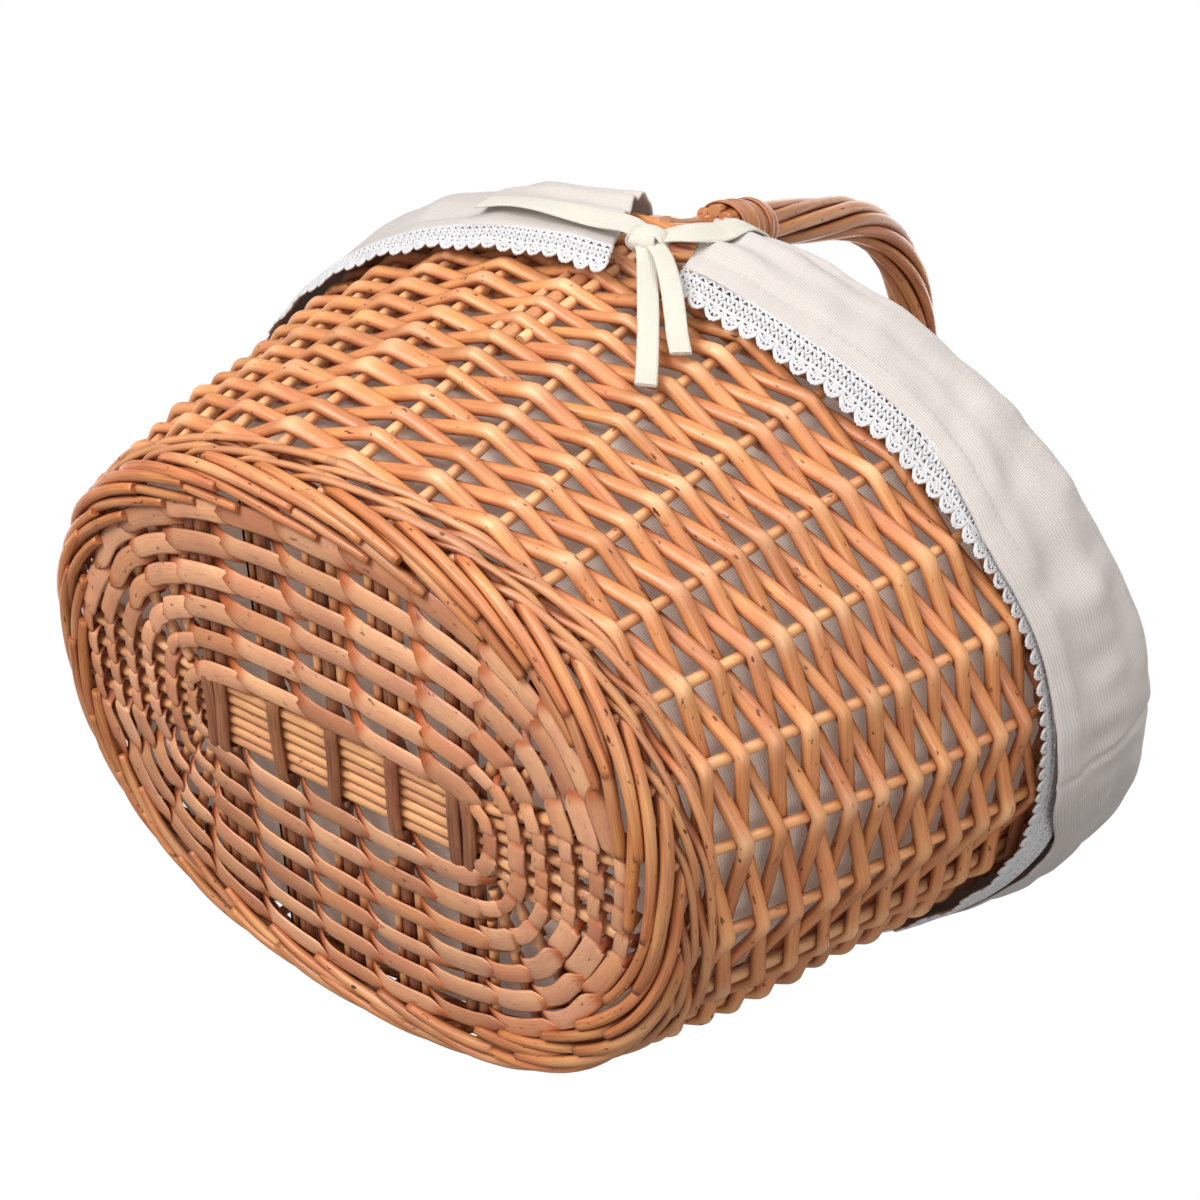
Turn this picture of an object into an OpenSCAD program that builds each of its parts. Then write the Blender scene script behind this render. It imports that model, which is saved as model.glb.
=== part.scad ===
// Oval wicker basket with a fixed arched handle and a tied cloth liner.
// It stands on its foot border at z = 0, long side along X, handle across Y.

/* [Basket body] */
// Length of the foot oval, stake line to stake line, in mm
base_length = 260; // [210:1:310]
// Width of the foot oval, stake line to stake line
base_width = 196; // [160:1:235]
// Length of the rim oval, stake line to stake line
rim_length = 386; // [325:1:465]
// Width of the rim oval, stake line to stake line
rim_width = 264; // [235:1:305]
// Height of the wicker, floor to the top of the rim border
body_height = 188; // [156:1:226]
// How far the wall bows out, as a share of its flare
wall_bow = 0.5; // [0.2:0.05:0.7]
// Exponent of the oval: 2 is an ellipse, more is squarer
oval_power = 2.25; // [2:0.05:2.8]

/* [Stakes and weave] */
// Number of upright stakes, an even number with one under each end of the bow
stake_count = 30; // [22:2:34]
// Diameter of an upright stake
stake_d = 4; // [3:0.1:4.6]
// Thickness of the woven side, outside to inside
weave_thick = 12; // [11:0.5:15]
// Thickness of the waling bands at the foot of the side
waling_thick = 15; // [13:0.5:18]
// Height of the waling bands
waling_height = 12; // [8:0.5:18]

/* [Borders] */
// Height of the foot border
foot_height = 10; // [8:0.5:14]
// Width of the foot border ring
foot_width = 13; // [11:0.5:16]
// Height of the rim border
rim_height = 10; // [8:0.5:14]
// Width of the rim border ring
rim_border_width = 14; // [12:0.5:18]

/* [Base] */
// Thickness of the woven base
base_thick = 9; // [8.5:0.25:10]
// Height of the base's underside over the floor
base_lift = 3; // [1:0.25:5]
// Diameter of a long stick
long_stick_d = 4.2; // [3.5:0.1:4.6]
// Number of long sticks
long_stick_count = 6; // [4:1:8]
// Diameter of a slit cross stick
cross_stick_d = 5.4; // [4.6:0.1:6.5]
// Distance between the single cross sticks
cross_pitch = 27; // [22:0.5:30]
// Diameter of a fan stick laid in at the ends of the base
fan_stick_d = 4; // [3:0.1:4.4]

/* [Handle] */
// Height of the handle bow's middle line at its crown
handle_rise = 385; // [345:1:420]
// Lean of the handle's legs towards each other, in degrees
leg_lean = 15; // [10:0.5:17]
// Diameter of the bow
bow_d = 9; // [8:0.1:10.5]
// Diameter of the bow's ends in the wall
bow_end_d = 7; // [5:0.1:7.4]
// How deep the bow's ends go below the rim
bow_depth = 92; // [60:1:110]
// Number of rods twisted round the bow
rope_count = 8; // [6:1:8]
// Diameter of a twisted rod
rope_d = 4.6; // [3.6:0.1:5.6]
// Turns that the rods make between the bindings
rope_turns = 1.25; // [1:0.25:3]
// Turns of skein in one binding
binding_turns = 7; // [4:1:9]
// Width of the skein
skein_w = 3.4; // [2.4:0.1:4]
// Height of the lower binding edge over the rim, along the leg
binding_start = 40; // [30:1:50]

/* [Cloth] */
// Thickness of the linen
linen_thick = 1.6; // [1:0.1:2]
// Depth of the cuff folded over the rim
cuff_depth = 42; // [30:1:55]
// Width of the lace below the cuff
lace_depth = 13; // [8:0.5:18]
// Width of the slit in the cuff at each handle foot
slit_width = 34; // [28:1:44]
// Sideways drift of the slit from the rim to the lace
slit_drift = 22; // [0:1:30]
// Width of the tie tape
tape_w = 12; // [8:0.5:15]
// Thickness of the tie tape
tape_thick = 1.2; // [0.8:0.1:1.6]
// Length of the longer tape tail
tail_long = 104; // [70:1:120]
// Length of the shorter tape tail
tail_short = 80; // [50:1:95]

/* [Hidden] */
$fn = 48;

gap = 0.3;                       // clearance between a soft piece and its neighbour
rod_gap = 0.15;                  // clearance between rods laid side by side
channel_gap = 0.8;               // clearance of a channel round the rod in it
oval_steps = 96;                 // corners of an extruded oval
rod_sides = 48;                  // sides of a wall rod
arc_steps = 360;                 // steps of a full turn in the long, shallow arcs of the wall rods
stick_z = base_lift + base_thick / 2;
weave_start = foot_height + waling_height;
weave_end = body_height - rim_height;
rim_a = rim_length / 2;
rim_b = rim_width / 2;

// ---- The oval and the wall ----

// Point of an oval with half axes a and b at the parameter angle t
function oval(t, a, b) = [a * sign(cos(t)) * pow(abs(cos(t)), 2 / oval_power),
    b * sign(sin(t)) * pow(abs(sin(t)), 2 / oval_power)];
// Share of the flare reached at the height z: a parabola that bows outwards
function flare(z) = let (u = min(z, body_height) / body_height)
    (1 + wall_bow) * u - wall_bow * u * u;
function wall_a(z) = base_length / 2 + (rim_length - base_length) / 2 * flare(z);
function wall_b(z) = base_width / 2 + (rim_width - base_width) / 2 * flare(z);
// Point at the height z, off millimetres outside the stake line
function wall_point(t, z, off) = let (p = oval(t, wall_a(z) + off, wall_b(z) + off))
    [p.x, p.y, z];
function unit(v) = v / norm(v);
// Outward direction of the oval at t, from the line between its near neighbours
function outward(t, z) = let (d = wall_point(t + 1, z, 0) - wall_point(t - 1, z, 0))
    unit([d.y, -d.x, 0]);
// Parameter angle at which the side is x from the middle of its front
function angle_at(x, z, off) =
    -90 + sign(x) * asin(pow(min(1, abs(x) / (wall_a(z) + off)), oval_power / 2));

// Stakes stand at equal distances along the oval half way up
mid_z = body_height / 2;
arc_step = 2;
arc_points = [for (t = [-90:arc_step:270]) wall_point(t, mid_z, 0)];
function run_to(n) = n == 0 ? [0]
    : let (before = run_to(n - 1)) concat(before, before[n - 1] + norm(arc_points[n] - arc_points[n - 1]));
arc_run = run_to(len(arc_points) - 1);
arc_table = [for (n = [0:len(arc_run) - 1]) [arc_run[n], -90 + arc_step * n]];
stake_pitch = arc_run[len(arc_run) - 1] / stake_count;
stake_angles = [for (k = [0:stake_count - 1]) lookup(k * stake_pitch, arc_table)];
// The stakes at the middle of the front and of the back stop below the bow's ends
function under_bow(k) = k % (stake_count / 2) == 0;

// ---- Sweeps ----

// Faces between two rings of count points each, from index a and from index b
function band(a, b, count, last) = [for (k = [0:last]) let (n = (k + 1) % count)
    each [[a + k, b + k, b + n], [a + k, b + n, a + n]]];
// Closed skin through rings of equal length, with a flat cap at each end
module skin(rings) {
    count = len(rings[0]);
    last = len(rings) - 1;
    polyhedron(points = [for (ring = rings) each ring], faces = concat(
        [for (r = [0:last - 1]) each band(r * count, (r + 1) * count, count, count - 1)],
        [[for (k = [0:count - 1]) k]],
        [[for (k = [count - 1:-1:0]) last * count + k]]));
}

// Rod of diameter d along points, whose sides are set out from two directions
module rod_along(points, d, sides) {
    last = len(points) - 1;
    skin([for (n = [0:last]) let (
            along = unit(points[min(n + 1, last)] - points[max(n - 1, 0)]),
            flat = unit(cross(along, [0, 0.01, 1])),
            up = cross(along, flat))
        [for (k = [0:sides - 1]) let (turn = 360 * k / sides)
            points[n] + d / 2 * (cos(turn) * flat + sin(turn) * up)]]);
}

// Flat tape of width w along points, with its face turned to the direction face
module tape_along(points, w, face) {
    last = len(points) - 1;
    skin([for (n = [0:last]) let (
            along = unit(points[min(n + 1, last)] - points[max(n - 1, 0)]),
            wide = unit(cross(along, face)),
            thick = cross(along, wide))
        [for (corner = [[-1, -1], [1, -1], [1, 1], [-1, 1]])
            points[n] + corner.x * w / 2 * wide + corner.y * tape_thick / 2 * thick]]);
}

// ---- Upright rods in the wall ----

// Rod of diameter d on an arc that follows the wall at the angle t, between two heights
module wall_rod(t, d, z_low, z_high) {
    foot = wall_point(t, 0, 0);
    lean = wall_point(t, body_height, 0) - foot;
    reach = norm([lean.x, lean.y]);
    chord = norm([reach, body_height]);
    sag = reach * wall_bow / 4 * body_height / chord;
    radius = (chord * chord / 4 + sag * sag) / (2 * sag);
    middle = atan2(-reach, body_height);
    half = asin(chord / 2 / radius);
    intersection() {
        translate(foot)
            rotate([90, 0, atan2(lean.y, lean.x)])
                translate([reach / 2 - (radius - sag) * cos(middle),
                    body_height / 2 - (radius - sag) * sin(middle), 0])
                    rotate([0, 0, middle - half])
                        rotate_extrude(angle = 2 * half, $fn = arc_steps)
                            translate([radius, 0])
                                circle(d = d, $fn = rod_sides);
        translate([-rim_length, -rim_length, z_low])
            cube([2 * rim_length, 2 * rim_length, z_high - z_low]);
    }
}

// Woven shell that follows the wall, with a channel for each stake and bow end
module woven_shell(levels, thick) {
    n = stake_count;
    ends = concat(stake_angles, [270]);
    // A leaning rod needs a channel that is deeper than it is wide.
    // Each rod's place owns three outer, three inner and four channel points in every level
    per = 10;
    points = [for (z = levels) for (k = [0:n - 1]) let (
            t = stake_angles[k],
            half = ((under_bow(k) ? bow_end_d : stake_d) + channel_gap) / 2,
            c = wall_point(t, z, 0),
            out = outward(t, z),
            side = [-out.y, out.x, 0],
            deep = half * norm(wall_point(t, z + 1, 0) - wall_point(t, z, 0)),
            web = (t + ends[k + 1]) / 2)
        each [c - half * side + thick / 2 * out, c + half * side + thick / 2 * out,
            wall_point(web, z, thick / 2),
            c - half * side - thick / 2 * out, c + half * side - thick / 2 * out,
            wall_point(web, z, -thick / 2),
            c - half * side + deep * out, c + half * side + deep * out,
            c + half * side - deep * out, c - half * side - deep * out]];
    row = n * per;
    outer = [for (k = [0:n - 1]) each [k * per, k * per + 1, k * per + 2]];
    inner = [for (k = [0:n - 1]) each [k * per + 3, k * per + 4, k * per + 5]];
    // Faces of a closed run of points between two levels, seen from outside or inside
    function wall_faces(run, r, flip) = [for (i = [0:len(run) - 1]) let (
            a = r * row + run[i],
            b = r * row + run[(i + 1) % len(run)])
        each flip ? [[a, b, b + row], [a, b + row, a + row]] : [[a, b + row, b], [a, a + row, b + row]]];
    // Cap faces of one level; the top looks up and the bottom looks down
    function cap(r, up) = [for (k = [0:n - 1]) let (
            q = r * row + k * per,
            m = r * row + (k + 1) % n * per,
            faces = [[q, q + 1, q + 7, q + 6], [q + 9, q + 8, q + 4, q + 3],
                [q + 1, q + 2, q + 7], [q + 2, q + 5, q + 7], [q + 5, q + 8, q + 7], [q + 5, q + 4, q + 8],
                [q + 2, m, m + 6], [q + 2, m + 6, q + 5], [m + 6, m + 9, q + 5], [m + 9, m + 3, q + 5]])
        each [for (f = faces) up ? [for (i = [len(f) - 1:-1:0]) f[i]] : f]];
    last = len(levels) - 1;
    polyhedron(points = points, faces = concat(
        [for (r = [0:last - 1]) each concat(wall_faces(outer, r, false), wall_faces(inner, r, true),
            [for (k = [0:n - 1]) each wall_faces([for (i = [6:9]) k * per + i], r, true)])],
        cap(0, false), cap(last, true)));
}

// Flat oval with half axes a and b
module oval_plate(a, b) {
    polygon([for (k = [0:oval_steps - 1]) oval(360 * k / oval_steps, a, b)]);
}

// Oval ring of a border, centred on the line with half axes a and b
module border_ring(a, b, width, height) {
    linear_extrude(height)
        difference() {
            oval_plate(a + width / 2, b + width / 2);
            oval_plate(a - width / 2, b - width / 2);
        }
}

// ---- Base ----

plate_a = wall_a(foot_height / 2) - foot_width / 2 - gap;
plate_b = wall_b(foot_height / 2) - foot_width / 2 - gap;
long_pitch = long_stick_d + rod_gap;
slath_half = (long_stick_count - 1) / 2 * long_pitch + long_stick_d / 2;
slit_half = slath_half + rod_gap;
split_thick = cross_stick_d / 2 - rod_gap;
split_half = long_stick_d / 2 + rod_gap;
edge_gap = 2;                    // how far a stick stops short of the base's edge
cross_pairs = 2;                 // sticks in each doubled place at the slath's ends
cross_places = concat([for (k = [-1:1]) k * cross_pitch],
    [for (side = [-1, 1], k = [0:cross_pairs - 1])
        side * (2 * cross_pitch + k * (cross_stick_d + rod_gap))]);
fan_angles = [-38, -20, 20, 38]; // lie of the fan sticks from the long axis
fan_spread = 0.3;                // how far out a fan stick starts, for each degree of its lie
fan_inner = 2 * cross_pitch + cross_pairs * (cross_stick_d + rod_gap) + 3;

// Half width of the base plate x from its middle
function plate_half(x) = plate_b * pow(1 - pow(abs(x) / plate_a, oval_power), 1 / oval_power);

module long_sticks_at(d, reach) {
    for (k = [0:long_stick_count - 1])
        translate([-reach, (k - (long_stick_count - 1) / 2) * long_pitch, stick_z])
            rotate([0, 90, 0])
                cylinder(d = d, h = 2 * reach);
}

module base_long_sticks() {
    color("burlywood")
        long_sticks_at(long_stick_d, plate_a - edge_gap);
}

// Side view of a slit cross stick where the long sticks go through it
module split_outline() {
    taper = 6;
    tip = [slit_half + taper, cross_stick_d / 2];
    crown = [slit_half, split_half + split_thick];
    difference() {
        polygon([[-tip.x, -tip.y], [-crown.x, -crown.y], [crown.x, -crown.y], [tip.x, -tip.y],
            [tip.x, tip.y], [crown.x, crown.y], [-crown.x, crown.y], [-tip.x, tip.y]]);
        square([2 * slit_half, 2 * split_half], center = true);
    }
}

module cross_sticks_at(d) {
    for (x = cross_places, side = [-1, 1])
        translate([x, side * (slit_half + d / 4), stick_z])
            rotate([-90 * side, 0, 0])
                cylinder(d = d, h = plate_half(x) - edge_gap - slit_half - d / 4);
}

module base_cross_sticks() {
    color("sienna") {
        difference() {
            cross_sticks_at(cross_stick_d);
            translate([-plate_a, -slit_half, stick_z - split_half])
                cube([2 * plate_a, 2 * slit_half, 2 * split_half]);
        }
        for (x = cross_places)
            translate([x - cross_stick_d / 2, 0, stick_z])
                rotate([90, 0, 90])
                    linear_extrude(cross_stick_d)
                        split_outline();
    }
}

module fan_sticks_at(d) {
    for (side = [0, 180], lie = fan_angles) {
        start = [fan_inner, lie / abs(lie) * (slath_half + fan_spread * abs(lie))];
        // The stick stops where it comes to the base's edge
        reach = [for (r = [0:0.5:plate_a]) let (p = start + r * [cos(lie), sin(lie)])
            if (p.x < plate_a && abs(p.y) < plate_half(p.x) - edge_gap - d / 2 * abs(sin(lie))) r];
        rotate([0, 0, side])
            translate([start.x, start.y, stick_z])
                rotate([0, 90, lie])
                    cylinder(d = d, h = max(reach) - edge_gap);
    }
}

module base_fan_sticks() {
    color("peru")
        fan_sticks_at(fan_stick_d);
}

module base_weave() {
    slath_reach = 2 * cross_pitch + cross_pairs * (cross_stick_d + rod_gap) + 1;
    slath_room = slit_half + 7;
    color("sandybrown")
        difference() {
            translate([0, 0, base_lift])
                linear_extrude(base_thick)
                    difference() {
                        oval_plate(plate_a, plate_b);
                        square([2 * slath_reach, 2 * slath_room], center = true);
                    }
            long_sticks_at(long_stick_d + channel_gap, plate_a - edge_gap + gap);
            cross_sticks_at(cross_stick_d + channel_gap);
            fan_sticks_at(fan_stick_d + channel_gap);
        }
}

// ---- Side ----

module foot_border() {
    color("chocolate")
        border_ring(wall_a(foot_height / 2), wall_b(foot_height / 2), foot_width, foot_height);
}

module foot_waling() {
    color("peru")
        woven_shell([foot_height, foot_height + waling_height], waling_thick);
}

module stakes() {
    color("tan")
        for (k = [0:stake_count - 1])
            wall_rod(stake_angles[k], stake_d, foot_height,
                under_bow(k) ? body_height - bow_depth - gap : weave_end);
}

module side_weave() {
    bands = 5;
    color("sandybrown")
        woven_shell([for (k = [0:bands]) weave_start + (weave_end - weave_start) * k / bands], weave_thick);
}

module rim_border() {
    color("chocolate")
        difference() {
            translate([0, 0, weave_end])
                border_ring(rim_a, rim_b, rim_border_width, rim_height);
            for (side = [-1, 1])
                bow_leg(side, bow_end_d + channel_gap, weave_end - 1, body_height + 1);
        }
}

// ---- Handle ----

// The legs start over the rim's middle line and lean in; an arc joins them at the crown
leg_foot = [wall_b(weave_end), body_height];
arch_radius = (leg_foot[0] - (handle_rise - leg_foot[1]) * tan(leg_lean))
    / (cos(leg_lean) - (1 - sin(leg_lean)) * tan(leg_lean));
arch_middle = handle_rise - arch_radius;
leg_top = [arch_radius * cos(leg_lean), arch_middle + arch_radius * sin(leg_lean)];
leg_run = norm(leg_top - leg_foot);
arch_run = arch_radius * (90 - leg_lean) * PI / 180;
// The twisted rods lie on the bow, or further out where they would press on each other
bow_touch_r = bow_d / 2 + rod_gap + rope_d / 2;
rope_run = 2 * (leg_run + arch_run - binding_start);
rope_lean = atan(2 * PI * bow_touch_r * rope_turns / rope_run * arch_radius / (arch_radius - bow_touch_r));
rope_dip = rope_d / 2 * sin(rope_lean); // how far a rod's end reaches below its middle
rope_r = max(bow_touch_r, (rope_d + 2 * rod_gap) / (2 * sin(180 / rope_count) * cos(rope_lean)));
bind_r = rope_r + rope_d / 2 + rod_gap;
bind_length = binding_turns * skein_w;
foot_splay = 2;                  // how far out each foot rod leans, for each place from the middle
leg_shave = 0.4;                 // how much the bow's straight legs are shaved down
leg_shoulder = 0.6;              // height of the step from the bow to its thinner end

// Point of the bow's middle line, s millimetres along it from the front rim
function bow_point(s) = let (whole = 2 * (leg_run + arch_run), back = s > whole / 2,
        q = back ? whole - s : s,
        p = q < leg_run ? leg_foot + (leg_top - leg_foot) * q / leg_run
            : let (turn = leg_lean + (q - leg_run) / arch_radius * 180 / PI)
                [arch_radius * cos(turn), arch_middle + arch_radius * sin(turn)])
    [0, back ? p[0] : -p[0], p[1]];

// Bow end in the wall and the rim, on the wall's own arc
module bow_leg(side, d, z_low, z_high) {
    wall_rod(90 * side, d, z_low, z_high);
}

module handle_bow() {
    color("saddlebrown")
        union() {
            for (side = [-1, 1]) {
                bow_leg(side, bow_end_d, body_height - bow_depth, body_height + 1);
                translate([0, side * leg_foot[0], leg_foot[1]])
                    rotate([leg_lean * side, 0, 0])
                        translate([0, 0, leg_shoulder])
                            cylinder(d = bow_d - leg_shave, h = leg_run - leg_shoulder + 1);
            }
            translate([0, 0, arch_middle])
                rotate([90, 0, 90])
                    rotate([0, 0, leg_lean])
                        rotate_extrude(angle = 180 - 2 * leg_lean)
                            translate([arch_radius, 0])
                                circle(d = bow_d);
        }
}

module handle_rope_rods() {
    steps = 36;
    sides = 6;
    color("peru")
        for (k = [0:rope_count - 1])
            rod_along([for (n = [0:steps]) let (
                    s = binding_start + rope_run * n / steps,
                    along = unit(bow_point(s + 0.5) - bow_point(s - 0.5)),
                    up = cross(along, [1, 0, 0]),
                    turn = 360 * (k / rope_count + rope_turns * n / steps))
                bow_point(s) + rope_r * (cos(turn) * up + sin(turn) * [1, 0, 0])], rope_d, sides);
}

// Skein wound round the rods and the bow of one leg
module binding(side) {
    wall = 1;
    color("chocolate")
        translate([0, side * leg_foot[0], leg_foot[1]])
            rotate([leg_lean * side, 0, 0])
                translate([0, 0, binding_start])
                    union() {
                        difference() {
                            cylinder(r = bind_r + wall, h = bind_length);
                            translate([0, 0, -1])
                                cylinder(r = bind_r, h = bind_length + 2);
                        }
                        for (k = [0:binding_turns - 1])
                            translate([0, 0, (k + 0.5) * skein_w])
                                rotate_extrude()
                                    translate([bind_r, 0])
                                        intersection() {
                                            circle(d = skein_w);
                                            translate([0, -skein_w])
                                                square([skein_w, 2 * skein_w]);
                                        }
                    }
}

module handle_binding_front() {
    binding(-1);
}

module handle_binding_back() {
    binding(1);
}

// Ends of the twisted rods, spread from the binding down on to the rim border
module foot_rods(side) {
    rod_d = rope_d - 0.4;
    spread = rod_d + rod_gap;
    clear = bow_d / 2 + rod_d / 2 + rod_gap;
    length = binding_start + 8;
    color("peru")
        intersection() {
            translate([0, side * leg_foot[0], leg_foot[1]])
                rotate([leg_lean * side, 0, 0])
                    for (k = [-1.5:1:1.5], face = [-1, 1])
                        translate([k * spread, face * clear, -4])
                            rotate([0, atan2(-k * foot_splay, length), 0])
                                translate([k * foot_splay, 0, 0])
                                    cylinder(d = rod_d, h = length);
            // The rods end on the rim border below and under the binding above
            intersection() {
                translate([-50, -rim_b - 50, body_height])
                    cube([100, rim_width + 100, handle_rise]);
                translate([0, side * leg_foot[0], leg_foot[1]])
                    rotate([leg_lean * side, 0, 0])
                        translate([-50, -50, -20])
                            cube([100, 100, binding_start + 20 - gap - rope_dip]);
            }
        }
}

module handle_foot_rods_front() {
    foot_rods(-1);
}

module handle_foot_rods_back() {
    foot_rods(1);
}

// ---- Liner ----

liner_off = -(waling_thick / 2 + gap + linen_thick / 2);
liner_top = body_height - gap;
liner_floor = stick_z + max(base_thick / 2, split_half + split_thick) + gap;
ring_steps = 64;

function wall_ring(z, off) = [for (k = [0:ring_steps - 1]) wall_point(360 * k / ring_steps, z, off)];

module liner_bag() {
    levels = 4;
    half = linen_thick / 2;
    inner_floor = liner_floor + linen_thick;
    color("linen")
        skin(concat(
            [for (k = [0:levels]) wall_ring(liner_floor + (liner_top - liner_floor) * k / levels,
                liner_off + half)],
            [for (k = [levels:-1:0]) wall_ring(inner_floor + (liner_top - inner_floor) * k / levels,
                liner_off - half)]));
}

cuff_off = rim_a - wall_a(weave_end) + rim_border_width / 2 + gap + linen_thick / 2;
cuff_bottom = body_height - cuff_depth + 6;
fold_top = body_height + 6;
// Middle line of the folded cuff: [distance outside the stake line, height]
cuff_path = [[liner_off, liner_top + gap], [liner_off + 1, fold_top - 2], [-3, fold_top], [4, fold_top],
    [cuff_off - 1, fold_top - 3], [cuff_off, body_height - 6], [cuff_off, body_height - 20],
    [cuff_off, cuff_bottom]];
lace_path = [[cuff_off, cuff_bottom - gap], [cuff_off - 0.2, cuff_bottom - lace_depth / 2],
    [cuff_off - 0.4, cuff_bottom - lace_depth]];

// Sideways place of the slit's middle at the height z
function slit_middle(z) = slit_drift * max(0, min(1, (body_height - z) / (cuff_depth + lace_depth - 6)));
// Angles at which one half of the cuff starts and stops at the height z
function half_start(z, off) = angle_at(slit_middle(z) + slit_width / 2, z, off);
function half_stop(z, off) = 180 + angle_at(slit_middle(z) - slit_width / 2, z, off);

// Cloth strip along a path of [distance, height], swept round one half of the rim
module half_strip(path, thick) {
    last = len(path) - 1;
    steps = 32;
    // Each path point gives an outer and an inner point, across the path's own direction
    function offset_point(k, side) = let (
            d = unit(path[min(k + 1, last)] - path[max(k - 1, 0)]))
        path[k] + side * thick / 2 * [-d[1], d[0]];
    outline = concat([for (k = [0:last]) offset_point(k, 1)], [for (k = [last:-1:0]) offset_point(k, -1)]);
    skin([for (n = [0:steps]) [for (p = outline) let (
            a = half_start(p[1], p[0]),
            b = half_stop(p[1], p[0]))
        wall_point(a + (b - a) * n / steps, p[1], p[0])]]);
}

module liner_cuff_right() {
    color("linen")
        half_strip(cuff_path, linen_thick);
}

module liner_cuff_left() {
    color("linen")
        rotate([0, 0, 180])
            half_strip(cuff_path, linen_thick);
}

module lace_right() {
    color("white")
        half_strip(lace_path, linen_thick);
}

module lace_left() {
    color("white")
        rotate([0, 0, 180])
            half_strip(lace_path, linen_thick);
}

// ---- Tie tapes ----

knot_d = 13;
knot_thick = 3;
tape_off = cuff_off + linen_thick / 2 + gap + knot_thick / 2;
knot_z = cuff_bottom + 4;
knot_x = slit_middle(knot_z);
tail_lie = -58;                  // lie of the tails, from straight sideways
tail_part = 18;                  // angle between the two tails

// Point on the front, x sideways and z high, off millimetres outside the stake line
function front_point(x, z, off) = let (p = wall_point(angle_at(x, z, off), z, off)) [p.x, p.y, z];

// Tape of one cuff corner: a strap to the knot, its half of the knot and its tail
module tie_tape(side, tail, lie) {
    layer = side > 0 ? 0 : knot_thick + gap;
    strap_end = knot_x + side * (slit_width / 2 + 14);
    steps = 8;
    color("ivory")
        union() {
            tape_along([for (n = [0:steps]) let (x = strap_end + (knot_x - strap_end) * n / steps)
                front_point(x, knot_z, tape_off + layer)], tape_w, [0, -1, 0]);
            translate(front_point(knot_x, knot_z, tape_off + layer))
                rotate([90, 0, 0])
                    translate([0, 0, -knot_thick / 2])
                        cylinder(d = knot_d, h = knot_thick);
            tape_along([for (n = [0:steps]) let (r = tail * n / steps)
                front_point(knot_x + r * cos(lie), knot_z + r * sin(lie), tape_off + layer)],
                tape_w, [0, -1, 0]);
        }
}

module tape_front_left() {
    tie_tape(-1, tail_long, tail_lie);
}

module tape_front_right() {
    tie_tape(1, tail_short, tail_lie + tail_part);
}

module tape_back_left() {
    rotate([0, 0, 180])
        tie_tape(1, tail_short, tail_lie + tail_part);
}

module tape_back_right() {
    rotate([0, 0, 180])
        tie_tape(-1, tail_long, tail_lie);
}

base_long_sticks();
base_cross_sticks();
base_fan_sticks();
base_weave();
foot_border();
foot_waling();
stakes();
side_weave();
rim_border();
handle_bow();
handle_rope_rods();
handle_binding_front();
handle_binding_back();
handle_foot_rods_front();
handle_foot_rods_back();
liner_bag();
liner_cuff_right();
liner_cuff_left();
lace_right();
lace_left();
tape_front_left();
tape_front_right();
tape_back_left();
tape_back_right();
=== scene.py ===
# Oval wicker basket with an arched handle and a tied linen liner. Places are worked out in millimetres
# from the frame's boxes, and makePiece puts them into the meshes in metres.
import bpy
import numpy as np
from mathutils import Matrix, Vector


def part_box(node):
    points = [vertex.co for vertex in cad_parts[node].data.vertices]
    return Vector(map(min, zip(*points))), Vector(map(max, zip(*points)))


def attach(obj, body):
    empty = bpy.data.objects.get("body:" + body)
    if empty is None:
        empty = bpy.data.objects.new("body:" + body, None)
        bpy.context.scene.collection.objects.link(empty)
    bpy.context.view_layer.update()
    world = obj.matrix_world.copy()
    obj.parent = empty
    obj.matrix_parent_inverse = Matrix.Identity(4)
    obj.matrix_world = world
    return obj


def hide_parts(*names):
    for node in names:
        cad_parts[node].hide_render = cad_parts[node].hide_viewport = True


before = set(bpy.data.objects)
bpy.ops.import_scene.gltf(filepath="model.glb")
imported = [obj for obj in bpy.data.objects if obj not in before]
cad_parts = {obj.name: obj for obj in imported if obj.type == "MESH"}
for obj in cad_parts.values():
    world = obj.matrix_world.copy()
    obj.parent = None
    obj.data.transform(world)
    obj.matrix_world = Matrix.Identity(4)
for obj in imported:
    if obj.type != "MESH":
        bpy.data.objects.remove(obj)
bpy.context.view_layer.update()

mm = 0.001
fullTurn = 2 * np.pi


def boxMm(node):
    # Lowest and highest corner of a node's box, in millimetres
    low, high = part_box(node)
    return np.array(low) / mm, np.array(high) / mm


def unit(v):
    # Vector over its length, v / |v|
    return v / np.maximum(np.linalg.norm(v, axis=-1, keepdims=True), 1e-9)


def smoothStep(low, high, x):
    # 3 s^2 - 2 s^3, where s is the share of x between low and high, kept to 0..1
    s = np.clip((x - low) / (high - low), 0, 1)
    return s * s * (3 - 2 * s)


def rgb(red, green, blue):
    # Screen colour 0..255 as a shader's linear colour: ((c + 0.055) / 1.055)^2.4, or c / 12.92 when dark
    c = np.array([red, green, blue]) / 255
    return tuple(np.where(c > 0.04045, ((c + 0.055) / 1.055) ** 2.4, c / 12.92)) + (1.0,)


# Camera first: its lens in millimetres, its place in metres and the directions that it is turned to
cameraPlace = {
    "lens": 60.89, "location": (0.41363, -0.39859, -0.37104),
    "right": (0.78962, 0.01892, 0.61331), "down": (0.30588, 0.85434, -0.42017),
    "forward": (-0.53193, 0.51937, 0.66881),
}


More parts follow.
